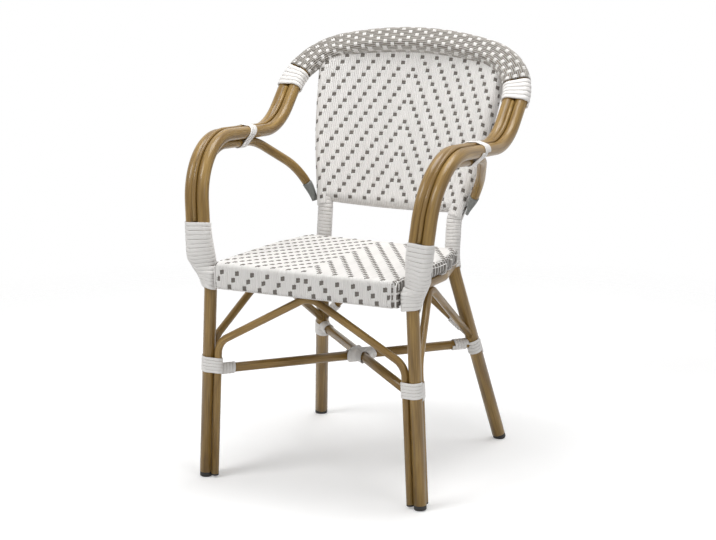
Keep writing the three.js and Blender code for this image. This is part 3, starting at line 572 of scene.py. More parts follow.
seat = {
    "frontY": -257.0, "frontHeight": 455.0, "pitch": 0.035, "depth": 374.0, "frontHalf": 197.0,
    "middleHalf": 193.0, "rearHalf": 171.0, "middleDepth": 250.0, "corner": 18.0, "side": 260.0,
    "edge": 9.0, "weave": 3.0, "ring": 11.0, "rail": 9.5,
}
slabDepth = 2 * seat["ring"] + 2 * (seat["weave"] + gap)
frontRailDrop = seat["weave"] + gap + 2 * seat["ring"] + gap + arm["radius"]
fasciaDrop = frontRailDrop + arm["radius"] + gap + seat["weave"]
fasciaDepth = 2 * arm["radius"] + 2 * (seat["weave"] + gap)


def onSeat(x, depth, drop):
    # The seat's plane falls towards the back by the pitch p:
    # y = y0 + depth cos p - drop sin p, z = z0 - depth sin p - drop cos p
    x, depth, drop = np.broadcast_arrays(x, depth, drop)
    cosine, sine = math.cos(seat["pitch"]), math.sin(seat["pitch"])
    return np.stack([x, seat["frontY"] + depth * cosine - drop * sine,
                     seat["frontHeight"] - depth * sine - drop * cosine], -1)


def innerTail(height):
    return placed(legLine.atHeight(height), -tailOffset, 0)


def rearTail(height):
    return placed(legLine.atHeight(height), 0, tailOffset)


tailTop = innerTail(brace["tailBend"])
apexHeight = onSeat(0, tailTop[1] - seat["frontY"], fasciaDrop)[2] - gap - brace["radius"]
frontApex = spot(brace["frontApex"], frontLegY, apexHeight)
half = [innerTail(brace["tailEnd"]), tailTop, frontApex]
frontBrace = bent(half + [mirror(corner) for corner in half[::-1]],
                  [brace["tailRadius"], brace["apexRadius"], brace["apexRadius"], brace["tailRadius"]])
piece("frontBrace", tubeBody(frontBrace, brace["radius"]), "tube", ["front_brace"])

railInset = seat["weave"] + gap + seat["ring"]
sideRailDrop = slabDepth + gap + seat["rail"]
sideRailX = seat["frontHalf"] - railInset
railFront = onSeat(sideRailX, fasciaDepth + 2 * tailOffset, sideRailDrop)
railMiddle = onSeat(sideRailX, seat["middleDepth"] + seat["corner"], sideRailDrop)
railPost = post.atHeight(railMiddle[2] - (postFoot[1] - railMiddle[1]) * seat["pitch"])[0]
railLeg = legLine.atHeight(railFront[2])[0]
sideRail = bent([railLeg, railFront, railMiddle, railPost], [brace["tailRadius"], brace["tailRadius"]])
pairPiece("sideRail", tubeBody(sideRail, seat["rail"]), "tube", "side_rail")


def acrossLine(end):
    # A straight line from one side to the other
    return bent([end, mirror(end)], [], (0, 0, 1))


rearRailEnd = post.atHeight(railPost[2])[0]
piece("rearRail", tubeBody(acrossLine(rearRailEnd), seat["rail"]), "tube", ["rear_rail"])
frontRailEnd = onSeat(seat["frontHalf"] - seat["corner"], seat["weave"] + gap + arm["radius"], frontRailDrop)
piece("frontRail", tubeBody(acrossLine(frontRailEnd), arm["radius"]), "tube", ["front_rail"])


def underSideRail(y):
    under = sideRail.at(sideRail.passing(sideRail.points[:, 1], y))[0]
    return under - spot(0, 0, seat["rail"] + gap + brace["radius"])


sideY, sideHalf = brace["sideApex"]
sideBrace = bent([rearTail(brace["tailEnd"]), rearTail(brace["tailBend"]), underSideRail(sideY - sideHalf),
                  underSideRail(sideY + sideHalf),
                  placed(rearLine.atHeight(brace["sideEnd"]), 0, -brace["radius"])],
                 [brace["tailRadius"], brace["apexRadius"], brace["apexRadius"]])
pairPiece("sideBrace", tubeBody(sideBrace, brace["radius"]), "tube", "side_brace")
rearApex = spot(brace["rearApex"], rearRailEnd[1], rearRailEnd[2] - seat["rail"] - gap - brace["radius"])
rearBraceEnd = placed(rearLine.atHeight(brace["rearEnd"]), -brace["radius"], 0)
rearBrace = bent([rearBraceEnd, rearApex, mirror(rearApex), mirror(rearBraceEnd)],
                 [brace["apexRadius"], brace["apexRadius"]])
piece("rearBrace", tubeBody(rearBrace, brace["radius"]), "tube", ["rear_brace"])

stretcher = {"radius": 9.5, "height": 224.0}
stretcherFront = legLine.atHeight(stretcher["height"])[0]
stretcherRear = rearLine.atHeight(stretcher["height"])[0]
crossing = mix(stretcherFront, mirror(stretcherRear),
               stretcherFront[0] / (stretcherFront[0] + stretcherRear[0]))
wholeLine = bent([stretcherFront, mirror(stretcherRear)], [])
frontHalf = bent([stretcherFront, crossing], [])
rearHalf = bent([stretcherRear, crossing], [])
for name, line, node in (("stretcherWhole", wholeLine, "stretcher_whole"),
                         ("stretcherFrontHalf", frontHalf.mirrored(), "stretcher_front_half"),
                         ("stretcherRearHalf", rearHalf, "stretcher_rear_half")):
    piece(name, tubeBody(line, stretcher["radius"]), "tube", [node])

# The arm brace nestles under the two arm tubes and comes down to the post, where its end is flat
armBrace = {
    "radius": 9.5, "start": 598.0, "tieY": -17.0, "tieWidth": 40.0, "bendY": 34.0, "bend": 100.0,
    "knee": (26.0, 5.0, 58.0), "kneeBend": 118.0, "tip": 507.0, "end": 42.0, "endStep": 3.0,
    "tipHalf": (3.5, 8.5), "tipGap": 2.8, "skin": 0.8, "sag": 0.8, "rounding": 3.0,
}
cadPostSides = 12   # the CAD's post is a prism whose flat sides touch the round tube
backShell = rear["radius"] / math.cos(math.pi / cadPostSides) + 2 * gap + seat["weave"]
nestle = math.sqrt((arm["radius"] + armBrace["radius"] + gap) ** 2 - pairHalf ** 2) + armBrace["sag"]
insideCentre = bendAt(pairStart, armFront, armRear, arm["frontBend"])[3]
braceCorner = armFront + (insideCentre - armFront) * nestle / arm["frontBend"]
braceFoot = braceCorner - pairAim * np.linalg.norm(armFront - pairStart)
tieMiddle = pair.passing(pair.points[:, 1], armBrace["tieY"])
braceBend = mix(armFront, armRear, (armBrace["bendY"] - armFront[1]) / (armRear[1] - armFront[1]))
braceBend = braceBend + pair.at(tieMiddle)[3] * nestle
braceTip = post.atHeight(armBrace["tip"])[0] + spot(
    backShell + armBrace["tipGap"] + armBrace["tipHalf"][0], 0, 0)
braceRoute = bent([braceFoot, braceCorner, braceBend, braceTip + spot(*armBrace["knee"]), braceTip],
                  [arm["frontBend"] - nestle, armBrace["bend"], armBrace["kneeBend"]])
braceStart = braceRoute.passing(braceRoute.points[:, 2], armBrace["start"])
braceRun = braceRoute.slice(braceStart, braceRoute.length - armBrace["end"])
pairPiece("armBrace", tubeBody(braceRun, armBrace["radius"], armBrace["rounding"]), "tube", "arm_brace")


def braceEndBody():
    # An ellipse along the brace's last run, from round to the flat tip: p + n a cos t + b c sin t
    route = braceRoute.slice(braceRoute.length - armBrace["end"], braceRoute.length, armBrace["endStep"])
    share = smooth(route.travel / route.length)[:, None]
    angles = 2 * np.pi * np.arange(facets["tube"]) / facets["tube"]
    full = armBrace["radius"] + armBrace["skin"]
    across = mix(full, armBrace["tipHalf"][0], share) * np.cos(angles)
    upright = mix(full, armBrace["tipHalf"][1], share) * np.sin(angles)
    frames = [values[:, None] for values in (route.points, route.tangents, route.normals, route.binormals)]
    return skin(placed(frames, across, upright), (across, upright, route.travel[:, None]), cord["tone"])


pairPiece("armBraceEnd", braceEndBody(), "end", "arm_brace_end")


print("feet")

feet = {"rounding": 2.5, "capRounding": 2.0, "overlap": 1.0}


def footBody(line, radius):
    # A stub of the leg, rounded at both ends, that stands flat on the floor
    stub = line.betweenHeights(0, arm["footHeight"] + feet["overlap"])
    body = tubeBody(stub, radius, feet["rounding"])
    body.points[:, 2] = np.maximum(body.points[:, 2], 0)
    return body


pairPiece("frontFoot", footBody(legLine, arm["radius"]), "foot", "front_foot")
pairPiece("rearFoot", footBody(rearLine, rear["radius"]), "foot", "rear_foot")
for name, tail, node in (("innerTailCap", innerTail, "inner_tail_cap"),
                         ("rearTailCap", rearTail, "rear_tail_cap")):
    capLine = bent([tail(gap + brace["tailEnd"] / 2), tail(brace["tailEnd"] + feet["overlap"])], [])
    pairPiece(name, tubeBody(capLine, brace["radius"], feet["capRounding"]), "foot", node)


print("cord")

# Lowest and highest height, and turns
cords = {
    "corner": (391.0, 531.0, 18), "post": (392.0, 516.0, 18), "frontLeg": (218.0, 256.0, 6),
    "rearLeg": (200.0, 234.0, 5),
}
low, high, turns = cords["corner"]
cornerRoute = legRoute.betweenHeights(low, high)

# Low on the corner the cord also goes over the end of the front rail. Above it, the outer tube comes
# out of the leg along the ramp.
lap = {"in": 8.2, "forward": 11.0, "radius": 8.3, "fade": 25.0}
ramp = {"short": 4.0, "margin": 10.0, "samples": 60}
rampLength = legRoute.betweenHeights(low, arm["outerEnd"] - ramp["short"]).length - cornerRoute.length / turns
cornerTable = np.linspace(-ramp["margin"], cornerRoute.length + ramp["margin"], ramp["samples"])
outerBeside = beside(cornerRoute.at(np.maximum(cornerTable, rampLength)), outerLead)
railTop = seat["frontHeight"] - frontRailDrop + arm["radius"]
lapEnd = cornerRoute.passing(cornerRoute.points[:, 2], railTop) + lap["fade"]


def cornerCircles(s):
    # The leg, the outer tube beside it, and the lap over the rail's end, each as (x, y, radius)
    share = np.clip(s / rampLength, 0, 1)
    lapShare = np.clip((lapEnd - s) / lap["fade"], 0, 1)
    x = np.interp(s, cornerTable, outerBeside[:, 0]) * share
    y = np.interp(s, cornerTable, outerBeside[:, 1]) * share
    zero = np.zeros_like(s)
    radius = zero + arm["radius"]
    lapCircle = np.stack([-lap["in"] * lapShare, -lap["forward"] * lapShare, zero + lap["radius"]], -1)
    return np.stack([np.stack([zero, zero, radius], -1), np.stack([x, y, radius], -1), lapCircle], -2)


pairPiece("cornerCord", wound(cornerRoute, cornerCircles, turns), "strand", "corner_cord")
postCircle = constant([[0, 0, rear["radius"]]])
tailCircles = constant([[0, 0, arm["radius"]], [-tailOffset, 0, brace["radius"]],
                        [0, tailOffset, brace["radius"]]])
for name, line, circles, key, node in (("postCord", post, postCircle, "post", "post_cord"),
                                       ("rearLegCord", rearLine, postCircle, "rearLeg", "rear_leg_cord"),
                                       ("frontLegCord", legLine, tailCircles, "frontLeg", "front_leg_cord")):
    low, high, turns = cords[key]
    pairPiece(name, wound(line.betweenHeights(low, high), circles, turns), "strand", node)

sleeves = {"length": 36.0, "turns": 6, "back": 2.0, "postMore": 2.3}
for name, route, radius, reach, node in (
        ("frontStretcherSleeve", frontHalf, stretcher["radius"], tailOffset, "front_stretcher_sleeve"),
        ("rearStretcherSleeve", rearHalf, stretcher["radius"], rear["radius"] + sleeves["postMore"],
         "rear_stretcher_sleeve"),
        ("rearBraceSleeve", rearBrace, brace["radius"], rear["radius"], "rear_brace_sleeve")):
    run = route.slice(reach - sleeves["back"], reach + sleeves["length"])
    pairPiece(name, wound(run, constant([[0, 0, radius]]), sleeves["turns"]), "strand", node)

hoopWrap = {"start": 733.2, "length": 56.0, "turns": 6, "thickness": 3.8, "tilt": 1.0}
pairCircles = constant([[pairHalf, 0, arm["radius"]], [-pairHalf, 0, arm["radius"]]])
wrapStart = pair.passing(pair.points[:, 2], hoopWrap["start"])
wrapEnd = wrapStart + hoopWrap["length"]
pairPiece("hoopWrap", wound(pair.slice(wrapStart, wrapEnd), pairCircles, hoopWrap["turns"],
                            hoopWrap["thickness"], hoopWrap["tilt"]), "strand", "hoop_wrap")

# Slim rods along the groove between the arm tubes, on the outer side of their bends
rod = {"radius": 4.0}
rodOffset = math.sqrt((arm["radius"] + rod["radius"] + gap) ** 2 - pairHalf ** 2)
rodRun = pair.slice(0, wrapStart - gap).shifted(0, -rodOffset)
rodLead = (rodRun.points[0] - cornerRoute.points[-1]) @ pairAim - gap
rodFoot = rodRun.points[0] - pairAim * rodLead
rodRoute = Route(np.concatenate([[rodFoot], rodRun.points[1:]]), rodRun.tangents, rodRun.normals)
pairPiece("armGrooveRod", tubeBody(rodRoute, rod["radius"]), "tube", "arm_groove_rod")

tie = {"turns": 3, "tilt": -8.0}
tieRoute = pair.slice(tieMiddle - armBrace["tieWidth"] / 2, tieMiddle + armBrace["tieWidth"] / 2)
tieBeside = beside(tieRoute.at(tieRoute.travel), braceRoute)


def tieCircles(s):
    # The two arm tubes, the brace below them and the rod above, each as (x, y, radius)
    x = np.interp(s, tieRoute.travel, tieBeside[:, 0])
    y = np.interp(s, tieRoute.travel, tieBeside[:, 1])
    zero = np.zeros_like(s)
    braceCircle = np.stack([x, y, zero + armBrace["radius"] + gap], -1)
    rodCircle = np.stack([zero, zero - rodOffset, zero + rod["radius"]], -1)
    return np.concatenate([pairCircles(s), np.stack([braceCircle, rodCircle], -2)], -2)


pairPiece("armTie", wound(tieRoute, tieCircles, tie["turns"], tilt=tie["tilt"]), "strand", "arm_tie")


print("crossing binding")

# Straps over the crossing both ways, at these offsets, and turns round two of its arms
lashing = {"width": 6.0, "offsets": (-12.0, -6.0, 0.0, 6.0, 12.0), "bulge": 0.41, "offTop": 0.001,
           "grain": 9.0, "turns": 3, "from": 11.0, "to": 29.0}


def lashingLoop(along, offset, lift):
    # A closed strap over the crossing in an upright plane. The plane cuts both tubes in ellipses,
    # which circles of the tube's radius at +-(|offset| + bulge r) stand for.
    aside = np.cross(spot(0, 0, 1), along)
    angle = 2 * np.pi * np.arange(facets["loop"]) / facets["loop"]
    o = offset + cordSection[:, 0] * lashing["width"] / 2
    grow = stretcher["radius"] + lift + cord["thickness"] * (cordSection[:, 1] + 1) / 2
    side = np.sign(np.cos(angle + lashing["offTop"]))[:, None]
    x = (np.abs(o) + lashing["bulge"] * stretcher["radius"]) * side + grow * np.cos(angle)[:, None]
    z = grow * np.sin(angle)[:, None]
    rings = crossing + along * x[..., None] + aside * o[..., None] + spot(0, 0, 1) * z[..., None]
    grain = (o - offset, 0.0, lashing["grain"] * angle[:, None])
    return skin(rings[:, ::-1], grain, cord["tone"], closed=True)


loops = [lashingLoop(spot(1, 0, 0), offset, gap) for offset in lashing["offsets"]]
loops += [lashingLoop(spot(0, 1, 0), offset, gap + cord["thickness"]) for offset in lashing["offsets"]]
for route in (frontHalf.mirrored(), rearHalf):
    run = route.slice(route.length - lashing["to"], route.length - lashing["from"])
    loops.append(wound(run, constant([[0, 0, stretcher["radius"]]]), lashing["turns"]))
piece("crossingBinding", together(loops), "strand", ["crossing_binding"])


print("seat")

# Levels are depths below the weave's surface. A strand lies high. It is low nearer to a dot than flat,
# and high again beyond away. A cross strand lies low, and comes up over each dot in the same way.
strand = {
    "thickness": 1.15, "slit": 0.28, "tone": (0.25, 0.75), "uneven": (-0.04, 0.06), "ragged": 0.4,
    "high": 0.62, "low": 1.95, "weftHigh": 0.35, "weftLow": 2.0, "frontHigh": 0.95,
    "flat": 4.3, "away": 7.0, "frontFlat": 4.2, "frontAway": 6.2, "backFlat": 3.6, "backAway": 6.4,
    "seatStagger": 1.5, "frontStagger": 1.2, "backStagger": 0.5, "overFlat": 0.28, "overAway": 0.72,
}
weave = {
    "pitch": 8.33, "columns": 23, "row": 14.1, "firstRow": 10.5, "rows": 28, "fascia": (18.0, 32.0, 46.0),
    "weft": 4.4, "weftSlit": 0.15, "fasciaWeft": 4.9, "fasciaSlit": 0.2, "filler": 4.4, "fillerSlit": 0.4,
    "cornerFillers": (4.5, 10.0), "under": 24.0, "clearStart": 10.0, "clearEnd": 18.0, "clearRear": 3.0,
    "outermost": 0.5, "frontOverlap": 0.5,
}
rowEnd = {"lead": 1.5, "over": 4.0}
filler = {"start": 8.0, "samples": 22, "frontSamples": 16, "lead": 3.0, "over": 5.0, "lower": 0.3}
station = {"step": 2.8, "clear": 0.65, "margin": 1.0}
seatColumns = np.arange(-weave["columns"], weave["columns"] + 1)

outline = bent([spot(0, 0, 0), spot(seat["frontHalf"], 0, 0),
                spot(seat["middleHalf"], seat["middleDepth"], 0),
                spot(seat["rearHalf"], seat["depth"], 0), spot(0, seat["depth"], 0)],
               [seat["corner"], seat["side"], seat["corner"]], (0, 0, 1))
widest = int(np.argmax(outline.points[:, 0]))
frontPart = outline.points[:widest + 1]
rearPart = outline.points[widest:][::-1]


def depthOf(part, x):
    return np.interp(abs(x), part[:, 0], part[:, 1])


def halfWidth(depth):
    side = outline.points[1:-1]
    return np.interp(depth, side[:, 1], side[:, 0])


def seatAim(x, depth, drop):
    # A direction of the seat's own plane as one of the chair
    return onSeat(x, depth, drop) - onSeat(0, 0, 0)


def isDot(row, column):
    # The chevrons: a dark dot where the row and the column's distance from the middle add to 4 n
    return (row + np.abs(column)) % 4 == 0


def edgeProfile(start, end, startDrop, endDrop):
    # From under one edge, up round it, along the top and down round the other, as (place, drop)
    # with the outward direction at each: centre + r o over four quarter circles
    r = seat["edge"]
    q = np.linspace(0, np.pi / 2, facets["edge"])
    sine, cosine = np.sin(q), np.cos(q)
    turns = [((start + r, startDrop - r), -sine, cosine), ((start + r, r), -cosine, -sine),
             ((end - r, r), sine, -cosine), ((end - r, endDrop - r), cosine, sine)]
    points = [[(start + weave["under"], startDrop)]]
    outward = [[(0, 1)]]
    for (x, y), ox, oy in turns:
        points.append(np.stack([x + r * ox, y + r * oy], -1))
        outward.append(np.stack([ox, oy], -1))
    points = np.concatenate(points + [[(end - weave["under"], endDrop)]])
    outward = np.concatenate(outward + [[(0, 1)]])
    return points, outward, travelled(points)


def sampled(profile, distance, level):
    # The profile's point at a distance, level below its surface, and the outward direction there
    points, outward, travel = profile
    direction = unit(np.stack([np.interp(distance, travel, outward[:, k]) for k in range(2)], -1))
    place = np.stack([np.interp(distance, travel, points[:, k]) for k in range(2)], -1)
    return place - direction * level[:, None], direction


def fallOf(depthPast):
    # How far a rounded edge falls: r - sqrt(r^2 - d^2), d being how far past its start a point is
    past = np.clip(depthPast, 0, seat["edge"])
    return seat["edge"] - np.sqrt(seat["edge"] ** 2 - past ** 2)


def stationsFor(marks, offsets, low, high):
    # Stations at set offsets from each mark, and even ones where there are no marks
    locked = (np.asarray(marks)[:, None] + np.asarray(offsets)[None, :]).ravel()
    locked = np.sort(locked[(locked > low + station["margin"]) & (locked < high - station["margin"])])
    even = np.linspace(low, high, int((high - low) / station["step"]) + 2)
    far = np.ones(len(even), bool)
    if len(locked):
        far = np.abs(even[:, None] - locked[None, :]).min(1) > station["step"] * station["clear"]
    far[[0, -1]] = True
    return np.sort(np.concatenate([locked, even[far]]))


def dipped(distance, marks, near, far):
    # 1 nearer to a mark than near, 0 beyond far, and a smooth change between
    if len(marks) == 0:
        return np.zeros_like(distance)
    away = np.abs(distance[:, None] - np.asarray(marks)[None, :]).min(1)
    return smooth((far - away) / (far - near))


def overDots(distance, dots, pitch):
    # Where a cross strand is up over its dots, on columns of this pitch
    return dipped(distance, dots, strand["overFlat"] * pitch, strand["overAway"] * pitch)


def overOffsets(pitch):
    return np.array([-strand["overFlat"], 0.0, strand["overFlat"], 0.5]) * pitch


def woven(points, outward, width, thickness=strand["thickness"]):
    # A strand with a tone of its own
    return ribbon(points, outward, width, thickness, random.uniform(*strand["tone"]))


def staggered(dots, shift):
    # The places where one strand of a column goes down, which are a little off its neighbour's
    return dots + shift + random.uniform(-1, 1, len(dots)) * strand["ragged"]


def darkRun(marks, dots, middle, whole, outer, high):
    # The stations and levels of a dark row, which comes up over its dots and past the outermost column
    distance = stationsFor(marks, overOffsets(weave["pitch"]), 0, whole)
    past = smooth((np.abs(distance - middle) - outer + rowEnd["lead"]) / rowEnd["over"])
    up = np.maximum(overDots(distance, dots, weave["pitch"]), past)
    return [(distance, mix(strand["weftLow"], high, up))]


def fillerRuns(middle, outer, samples, first):
    # Those of two short strands between rows, one from each side, which come up only past the
    # outermost column
    away = np.linspace(outer - filler["start"], middle, samples)
    past = smooth((away - outer + filler["lead"]) / filler["over"])
    level = mix(strand["weftLow"], strand["high"] + filler["lower"], past)
    return [(middle + side * away, level) for side in (first, -first)]


# Columns, each of two strands from under the front edge over the seat to under the rear edge
rowOffsets = np.array([-strand["flat"], 0.0, strand["flat"], weave["row"] / 2])
rows = np.arange(weave["rows"])
rowNumbers = np.concatenate([-1 - np.arange(len(weave["fascia"])), rows])
warps = []
for column in seatColumns:
    middle = column * weave["pitch"]
    front = depthOf(frontPart, middle)
    profile = edgeProfile(front, depthOf(rearPart, middle), fasciaDrop, slabDepth)
    whole = profile[2][-1]
    top = profile[2][2 * facets["edge"]]
    fold = top - seat["edge"]
    topDepth = front + seat["edge"]
    marks = np.concatenate([top - math.pi / 2 * seat["edge"] + seat["edge"] - np.array(weave["fascia"]),
                            top + weave["firstRow"] + weave["row"] * rows - topDepth])
    inside = (marks > weave["clearStart"]) & (marks < whole - weave["clearEnd"])
    dots = marks[inside & isDot(rowNumbers, column)]
    distance = stationsFor(marks[inside], rowOffsets, 0, whole)
    for side in (-1, 1):
        x = middle + side * weave["pitch"] / 4
        dips = staggered(dots, side * np.where(dots < fold, strand["frontStagger"], strand["seatStagger"]))
        down = np.maximum(dipped(distance, dips[dips >= fold], strand["flat"], strand["away"]),
                          dipped(distance, dips[dips < fold], strand["frontFlat"], strand["frontAway"]))
        level = mix(strand["high"], strand["low"], down) + random.uniform(*strand["uneven"])
        place, direction = sampled(profile, distance, level)
        fall = fallOf(seat["edge"] - (halfWidth(np.clip(place[:, 0], 0, seat["depth"])) - abs(x)))
        drop = place[:, 1] + fall * np.clip(1 - place[:, 1] / seat["edge"], 0, 1)
        warps.append(woven(onSeat(x, place[:, 0], drop), seatAim(0, direction[:, 0], direction[:, 1]),
                           weave["pitch"] / 2 - strand["slit"]))
piece("seatStrands", together(warps), "strand", ["seat_weave"])

# Rows: two dark strands in each, and between two rows a pale filler at each side
wefts = []
fillers = []
for row in range(weave["rows"]):
    for half in (-0.5, 0.5, 0):
        depth = weave["firstRow"] + weave["row"] * (row if half else row + 0.5) + half * weave["weft"]
        if depth > seat["depth"] - weave["clearRear"]:
            continue
        edge = float(halfWidth(depth))
        profile = edgeProfile(-edge, edge, slabDepth, slabDepth)
        whole = profile[2][-1]
        centre = whole / 2
        held = seatColumns[np.abs(seatColumns * weave["pitch"]) < edge - seat["edge"] * weave["outermost"]]
        outer = held.max() * weave["pitch"] + weave["pitch"] / 2
        fall = fallOf(seat["edge"] - (seat["depth"] - depth))
        if half:
            marks = centre + held * weave["pitch"]
            runs = darkRun(marks, marks[isDot(row, held)], centre, whole, outer, strand["weftHigh"])
            width = weave["weft"] - weave["weftSlit"]
        else:
            runs = fillerRuns(centre, outer, filler["samples"], -1)
            width = weave["row"] - 2 * weave["weft"] - weave["fillerSlit"]
        for distance, level in runs:
            place, direction = sampled(profile, distance, level)
            made = woven(onSeat(place[:, 0], depth, place[:, 1] + fall),
                         seatAim(direction[:, 0], 0, direction[:, 1]), width)
            (wefts if half else fillers).append(made)

# Rows on the front: along the plan's outline from one side, round both corners, to the other
cornerRun = outline.slice(0, outline.passing(outline.points[:, 1], fasciaDepth))
cornerRest = cornerRun.slice(weave["frontOverlap"], cornerRun.length)
frontLine = cornerRun.mirrored().reversed().joined(cornerRest)
frontMiddle = cornerRun.length
outer = seatColumns.max() * weave["pitch"] + weave["pitch"] / 2
marks = frontMiddle + seatColumns * weave["pitch"]
frontRows = [(-1 - i, drop, half, weave["fasciaWeft"]) for i, drop in enumerate(weave["fascia"])
             for half in (-0.5, 0.5)]
frontRows += [(0, drop - weave["row"] / 2, 0, weave["filler"]) for drop in weave["fascia"]]
frontRows += [(0, drop, 0, weave["filler"]) for drop in weave["cornerFillers"]]
for number, drop, half, width in frontRows:
    drop = drop + half * width
    inset = fallOf(max(drop - (fasciaDrop - seat["edge"]), seat["edge"] - drop))
    if half:
        dots = marks[isDot(number, seatColumns)]
        runs = darkRun(marks, dots, frontMiddle, frontLine.length, outer, strand["frontHigh"])
    else:
        runs = fillerRuns(frontMiddle, outer, filler["frontSamples"], 1)
    for distance, level in runs:
        place, tangent, _, _ = frontLine.at(distance)
        outward = np.stack([tangent[:, 1], -tangent[:, 0]], -1)
        plan = place[:, :2] - outward * (level[:, None] + inset)
        made = woven(onSeat(plan[:, 0], plan[:, 1], drop), seatAim(outward[:, 0], outward[:, 1], 0),
                     width - weave["fasciaSlit"])
        (wefts if half else fillers).append(made)
piece("seatCrossStrands", together(wefts), "cross")
piece("seatEdgeStrands", together(fillers), "strand")


print("hoop band")

# Dark strands along the hoop, two to a row round its section, and short pale strands across them
band = {
    "pitch": 8.6, "rows": 18, "high": 0.1, "low": 2.3, "strand": 3.25, "thickness": 2.4,
    "uneven": (-0.05, 0.1), "dip": (2.9, 6.4), "across": 3.9, "acrossSlit": 0.25, "slant": 0.8,
    "reach": 6.6, "seen": 2.6, "sink": 3.0, "crossHigh": 0.0, "crossLow": 2.8,
}
bandRoute = pair.slice(wrapEnd + gap, pair.length - wrapEnd - gap)
bandMiddle = bandRoute.length / 2
bandRadius = arm["radius"] + gap + seat["weave"]
bandRound = 2 * math.pi * bandRadius + 4 * pairHalf


def onBand(s, around, level):
    # Round the section: half circles of radius R about +-h on the normal, and flats of 2 h between
    cap = math.pi * bandRadius
    a = np.mod(around, bandRound)
    side = np.where(a < cap + 2 * pairHalf, 1.0, -1.0)
    local = np.where(side > 0, a, a - cap - 2 * pairHalf)
    angle = np.clip(local, 0, cap) / bandRadius - np.pi / 2
    flat = np.clip(local - cap, 0, 2 * pairHalf)
    ox = side * np.cos(angle)
    oy = side * np.sin(angle)
    x = side * (pairHalf - flat) + (bandRadius - level) * ox
    y = (bandRadius - level) * oy
    point, _, normal, binormal = bandRoute.at(s)
    return (point + normal * x[..., None] + binormal * y[..., None],
            normal * ox[..., None] + binormal * oy[..., None])


bandEnd = int((bandMiddle - band["across"] - band["slant"]) / band["pitch"])
bandColumns = np.arange(-bandEnd, bandEnd + 1)
marks = bandMiddle + bandColumns * band["pitch"]
distance = stationsFor(marks, np.array([-0.25, 0.25, 0.5]) * band["pitch"], 0, bandRoute.length)
rowHeight = bandRound / band["rows"]
climb = np.linspace(-1, 1, facets["patch"])
sunk = smooth((np.abs(climb) * band["reach"] - band["seen"]) / band["sink"])
runners = []
patches = []
for row in range(band["rows"]):
    # A dot in every fourth column, two columns on from one row to the next
    dots = marks[(bandColumns + 2 * row) % 4 == 0]
    level = mix(band["high"], band["low"], dipped(distance, dots, *band["dip"]))
    for quarter in (-0.25, 0.25):
        around = np.full_like(distance, (row + 0.5 + quarter) * rowHeight)
        points, outward = onBand(distance, around, level + random.uniform(*band["uneven"]))
        runners.append(woven(points, outward, band["strand"], band["thickness"]))
    around = (row + 0.5) * rowHeight + climb * band["reach"]
    level = mix(band["crossHigh"], band["crossLow"], sunk)
    for dot in dots:
        for half in (-0.5, 0.5):
            points, outward = onBand(dot + half * band["across"] + climb * band["slant"], around, level)
            patches.append(woven(points, outward, band["across"] - band["acrossSlit"]))
piece("hoopStrands", together(runners), "band", ["hoop_weave"])
piece("hoopCrossStrands", together(patches), "strand")


print("back")

# A loop of strands round both posts, bowed to the rear between them and folded under the back rail
back = {
    "bow": 26.0, "bottom": 507.0, "foldFade": 6.0, "pastPost": 0.1, "pitch": 7.94, "fan": 0.0017,
    "columns": 28, "row": 13.15, "firstRow": 522.6, "rows": 25, "sag": 7.0, "sagAt": 133.0,
    "weft": 3.6, "weftApart": 0.95, "weftSlit": 0.1, "bandDip": 2.5, "reach": 250, "overPost": (1.0, 0.5),
    "searchTop": 880.0, "searchStep": 3.0, "probe": 1.0, "least": 4, "foldClear": 4.0,
    "tuckOver": 8.0, "tuckDepth": 2.0,
}
backLine = bent([waist, postFoot, postMiddle, postTop * 2 - postMiddle], rear["bends"][1:])
backHeights = backLine.points[:, 2]
foldHeight = back["bottom"] + backShell


def backFrame(height):
    # The posts' axis and direction at a height
    point, tangent, _, _ = backLine.at(np.interp(height, backHeights, backLine.travel))
    return point, tangent


def bowOf(halfWidth):
    # The bow's radius (w^2 + b^2) / 2 b and the angle it swings to each side
    radius = (halfWidth ** 2 + back["bow"] ** 2) / (2 * back["bow"])
    return radius, np.arcsin(halfWidth / radius)


def halfRound(height, facing):
    # The length of half the loop on one face: its arc, and a quarter circle round the post
    point, _ = backFrame(height)
    radius, swing = bowOf(point[..., 0])
    return (radius - facing * backShell) * swing + backShell * math.pi / 2


def onBack(u, height, level, facing):
    # The face's point at u along the loop from the middle: on the arc while |u| < (R -+ s) swing,
    # then round the post. Below the fold the two faces meet in a half circle under the rail.
    u, height, level = np.broadcast_arrays(u, height, level)
    fold = np.clip((foldHeight - height) / backShell, 0, math.pi / 2)
    axis, tangent = backFrame(np.maximum(height, foldHeight))
    radius, swing = bowOf(axis[:, 0])
    side = np.sign(u)
    arc = (radius - facing * backShell) * swing
    turn = np.clip(np.abs(u) / (radius - facing * backShell), 0, swing)
    roundPost = np.clip((np.abs(u) - arc) / backShell, 0, math.pi / 2 + back["pastPost"])
    onArc = smooth((arc - np.abs(u)) / back["foldFade"])
    folded = fold * onArc
    straight = np.clip(foldHeight - height, 0, None) * (1 - onArc)
    share = turn / swing * side
    upward = unit(np.stack([tangent[:, 0] * share, tangent[:, 1], tangent[:, 2]], -1))
    across = unit(spot(1, 0, 0) - upward * upward[:, :1])
    forward = np.cross(across, upward)
    aim = side * turn + (0.0 if facing > 0 else math.pi) - side * facing * roundPost
    outward = forward * np.cos(aim)[:, None] - across * np.sin(aim)[:, None]
    outward = outward * np.cos(folded)[:, None] - upward * np.sin(folded)[:, None]
    centre = np.stack([radius * np.sin(side * turn), axis[:, 1], axis[:, 2]], -1)
    centre = centre + forward * (radius * (np.cos(swing) - np.cos(turn)))[:, None]
    centre = centre - upward * straight[:, None]
    return centre + outward * (backShell - level)[:, None], outward


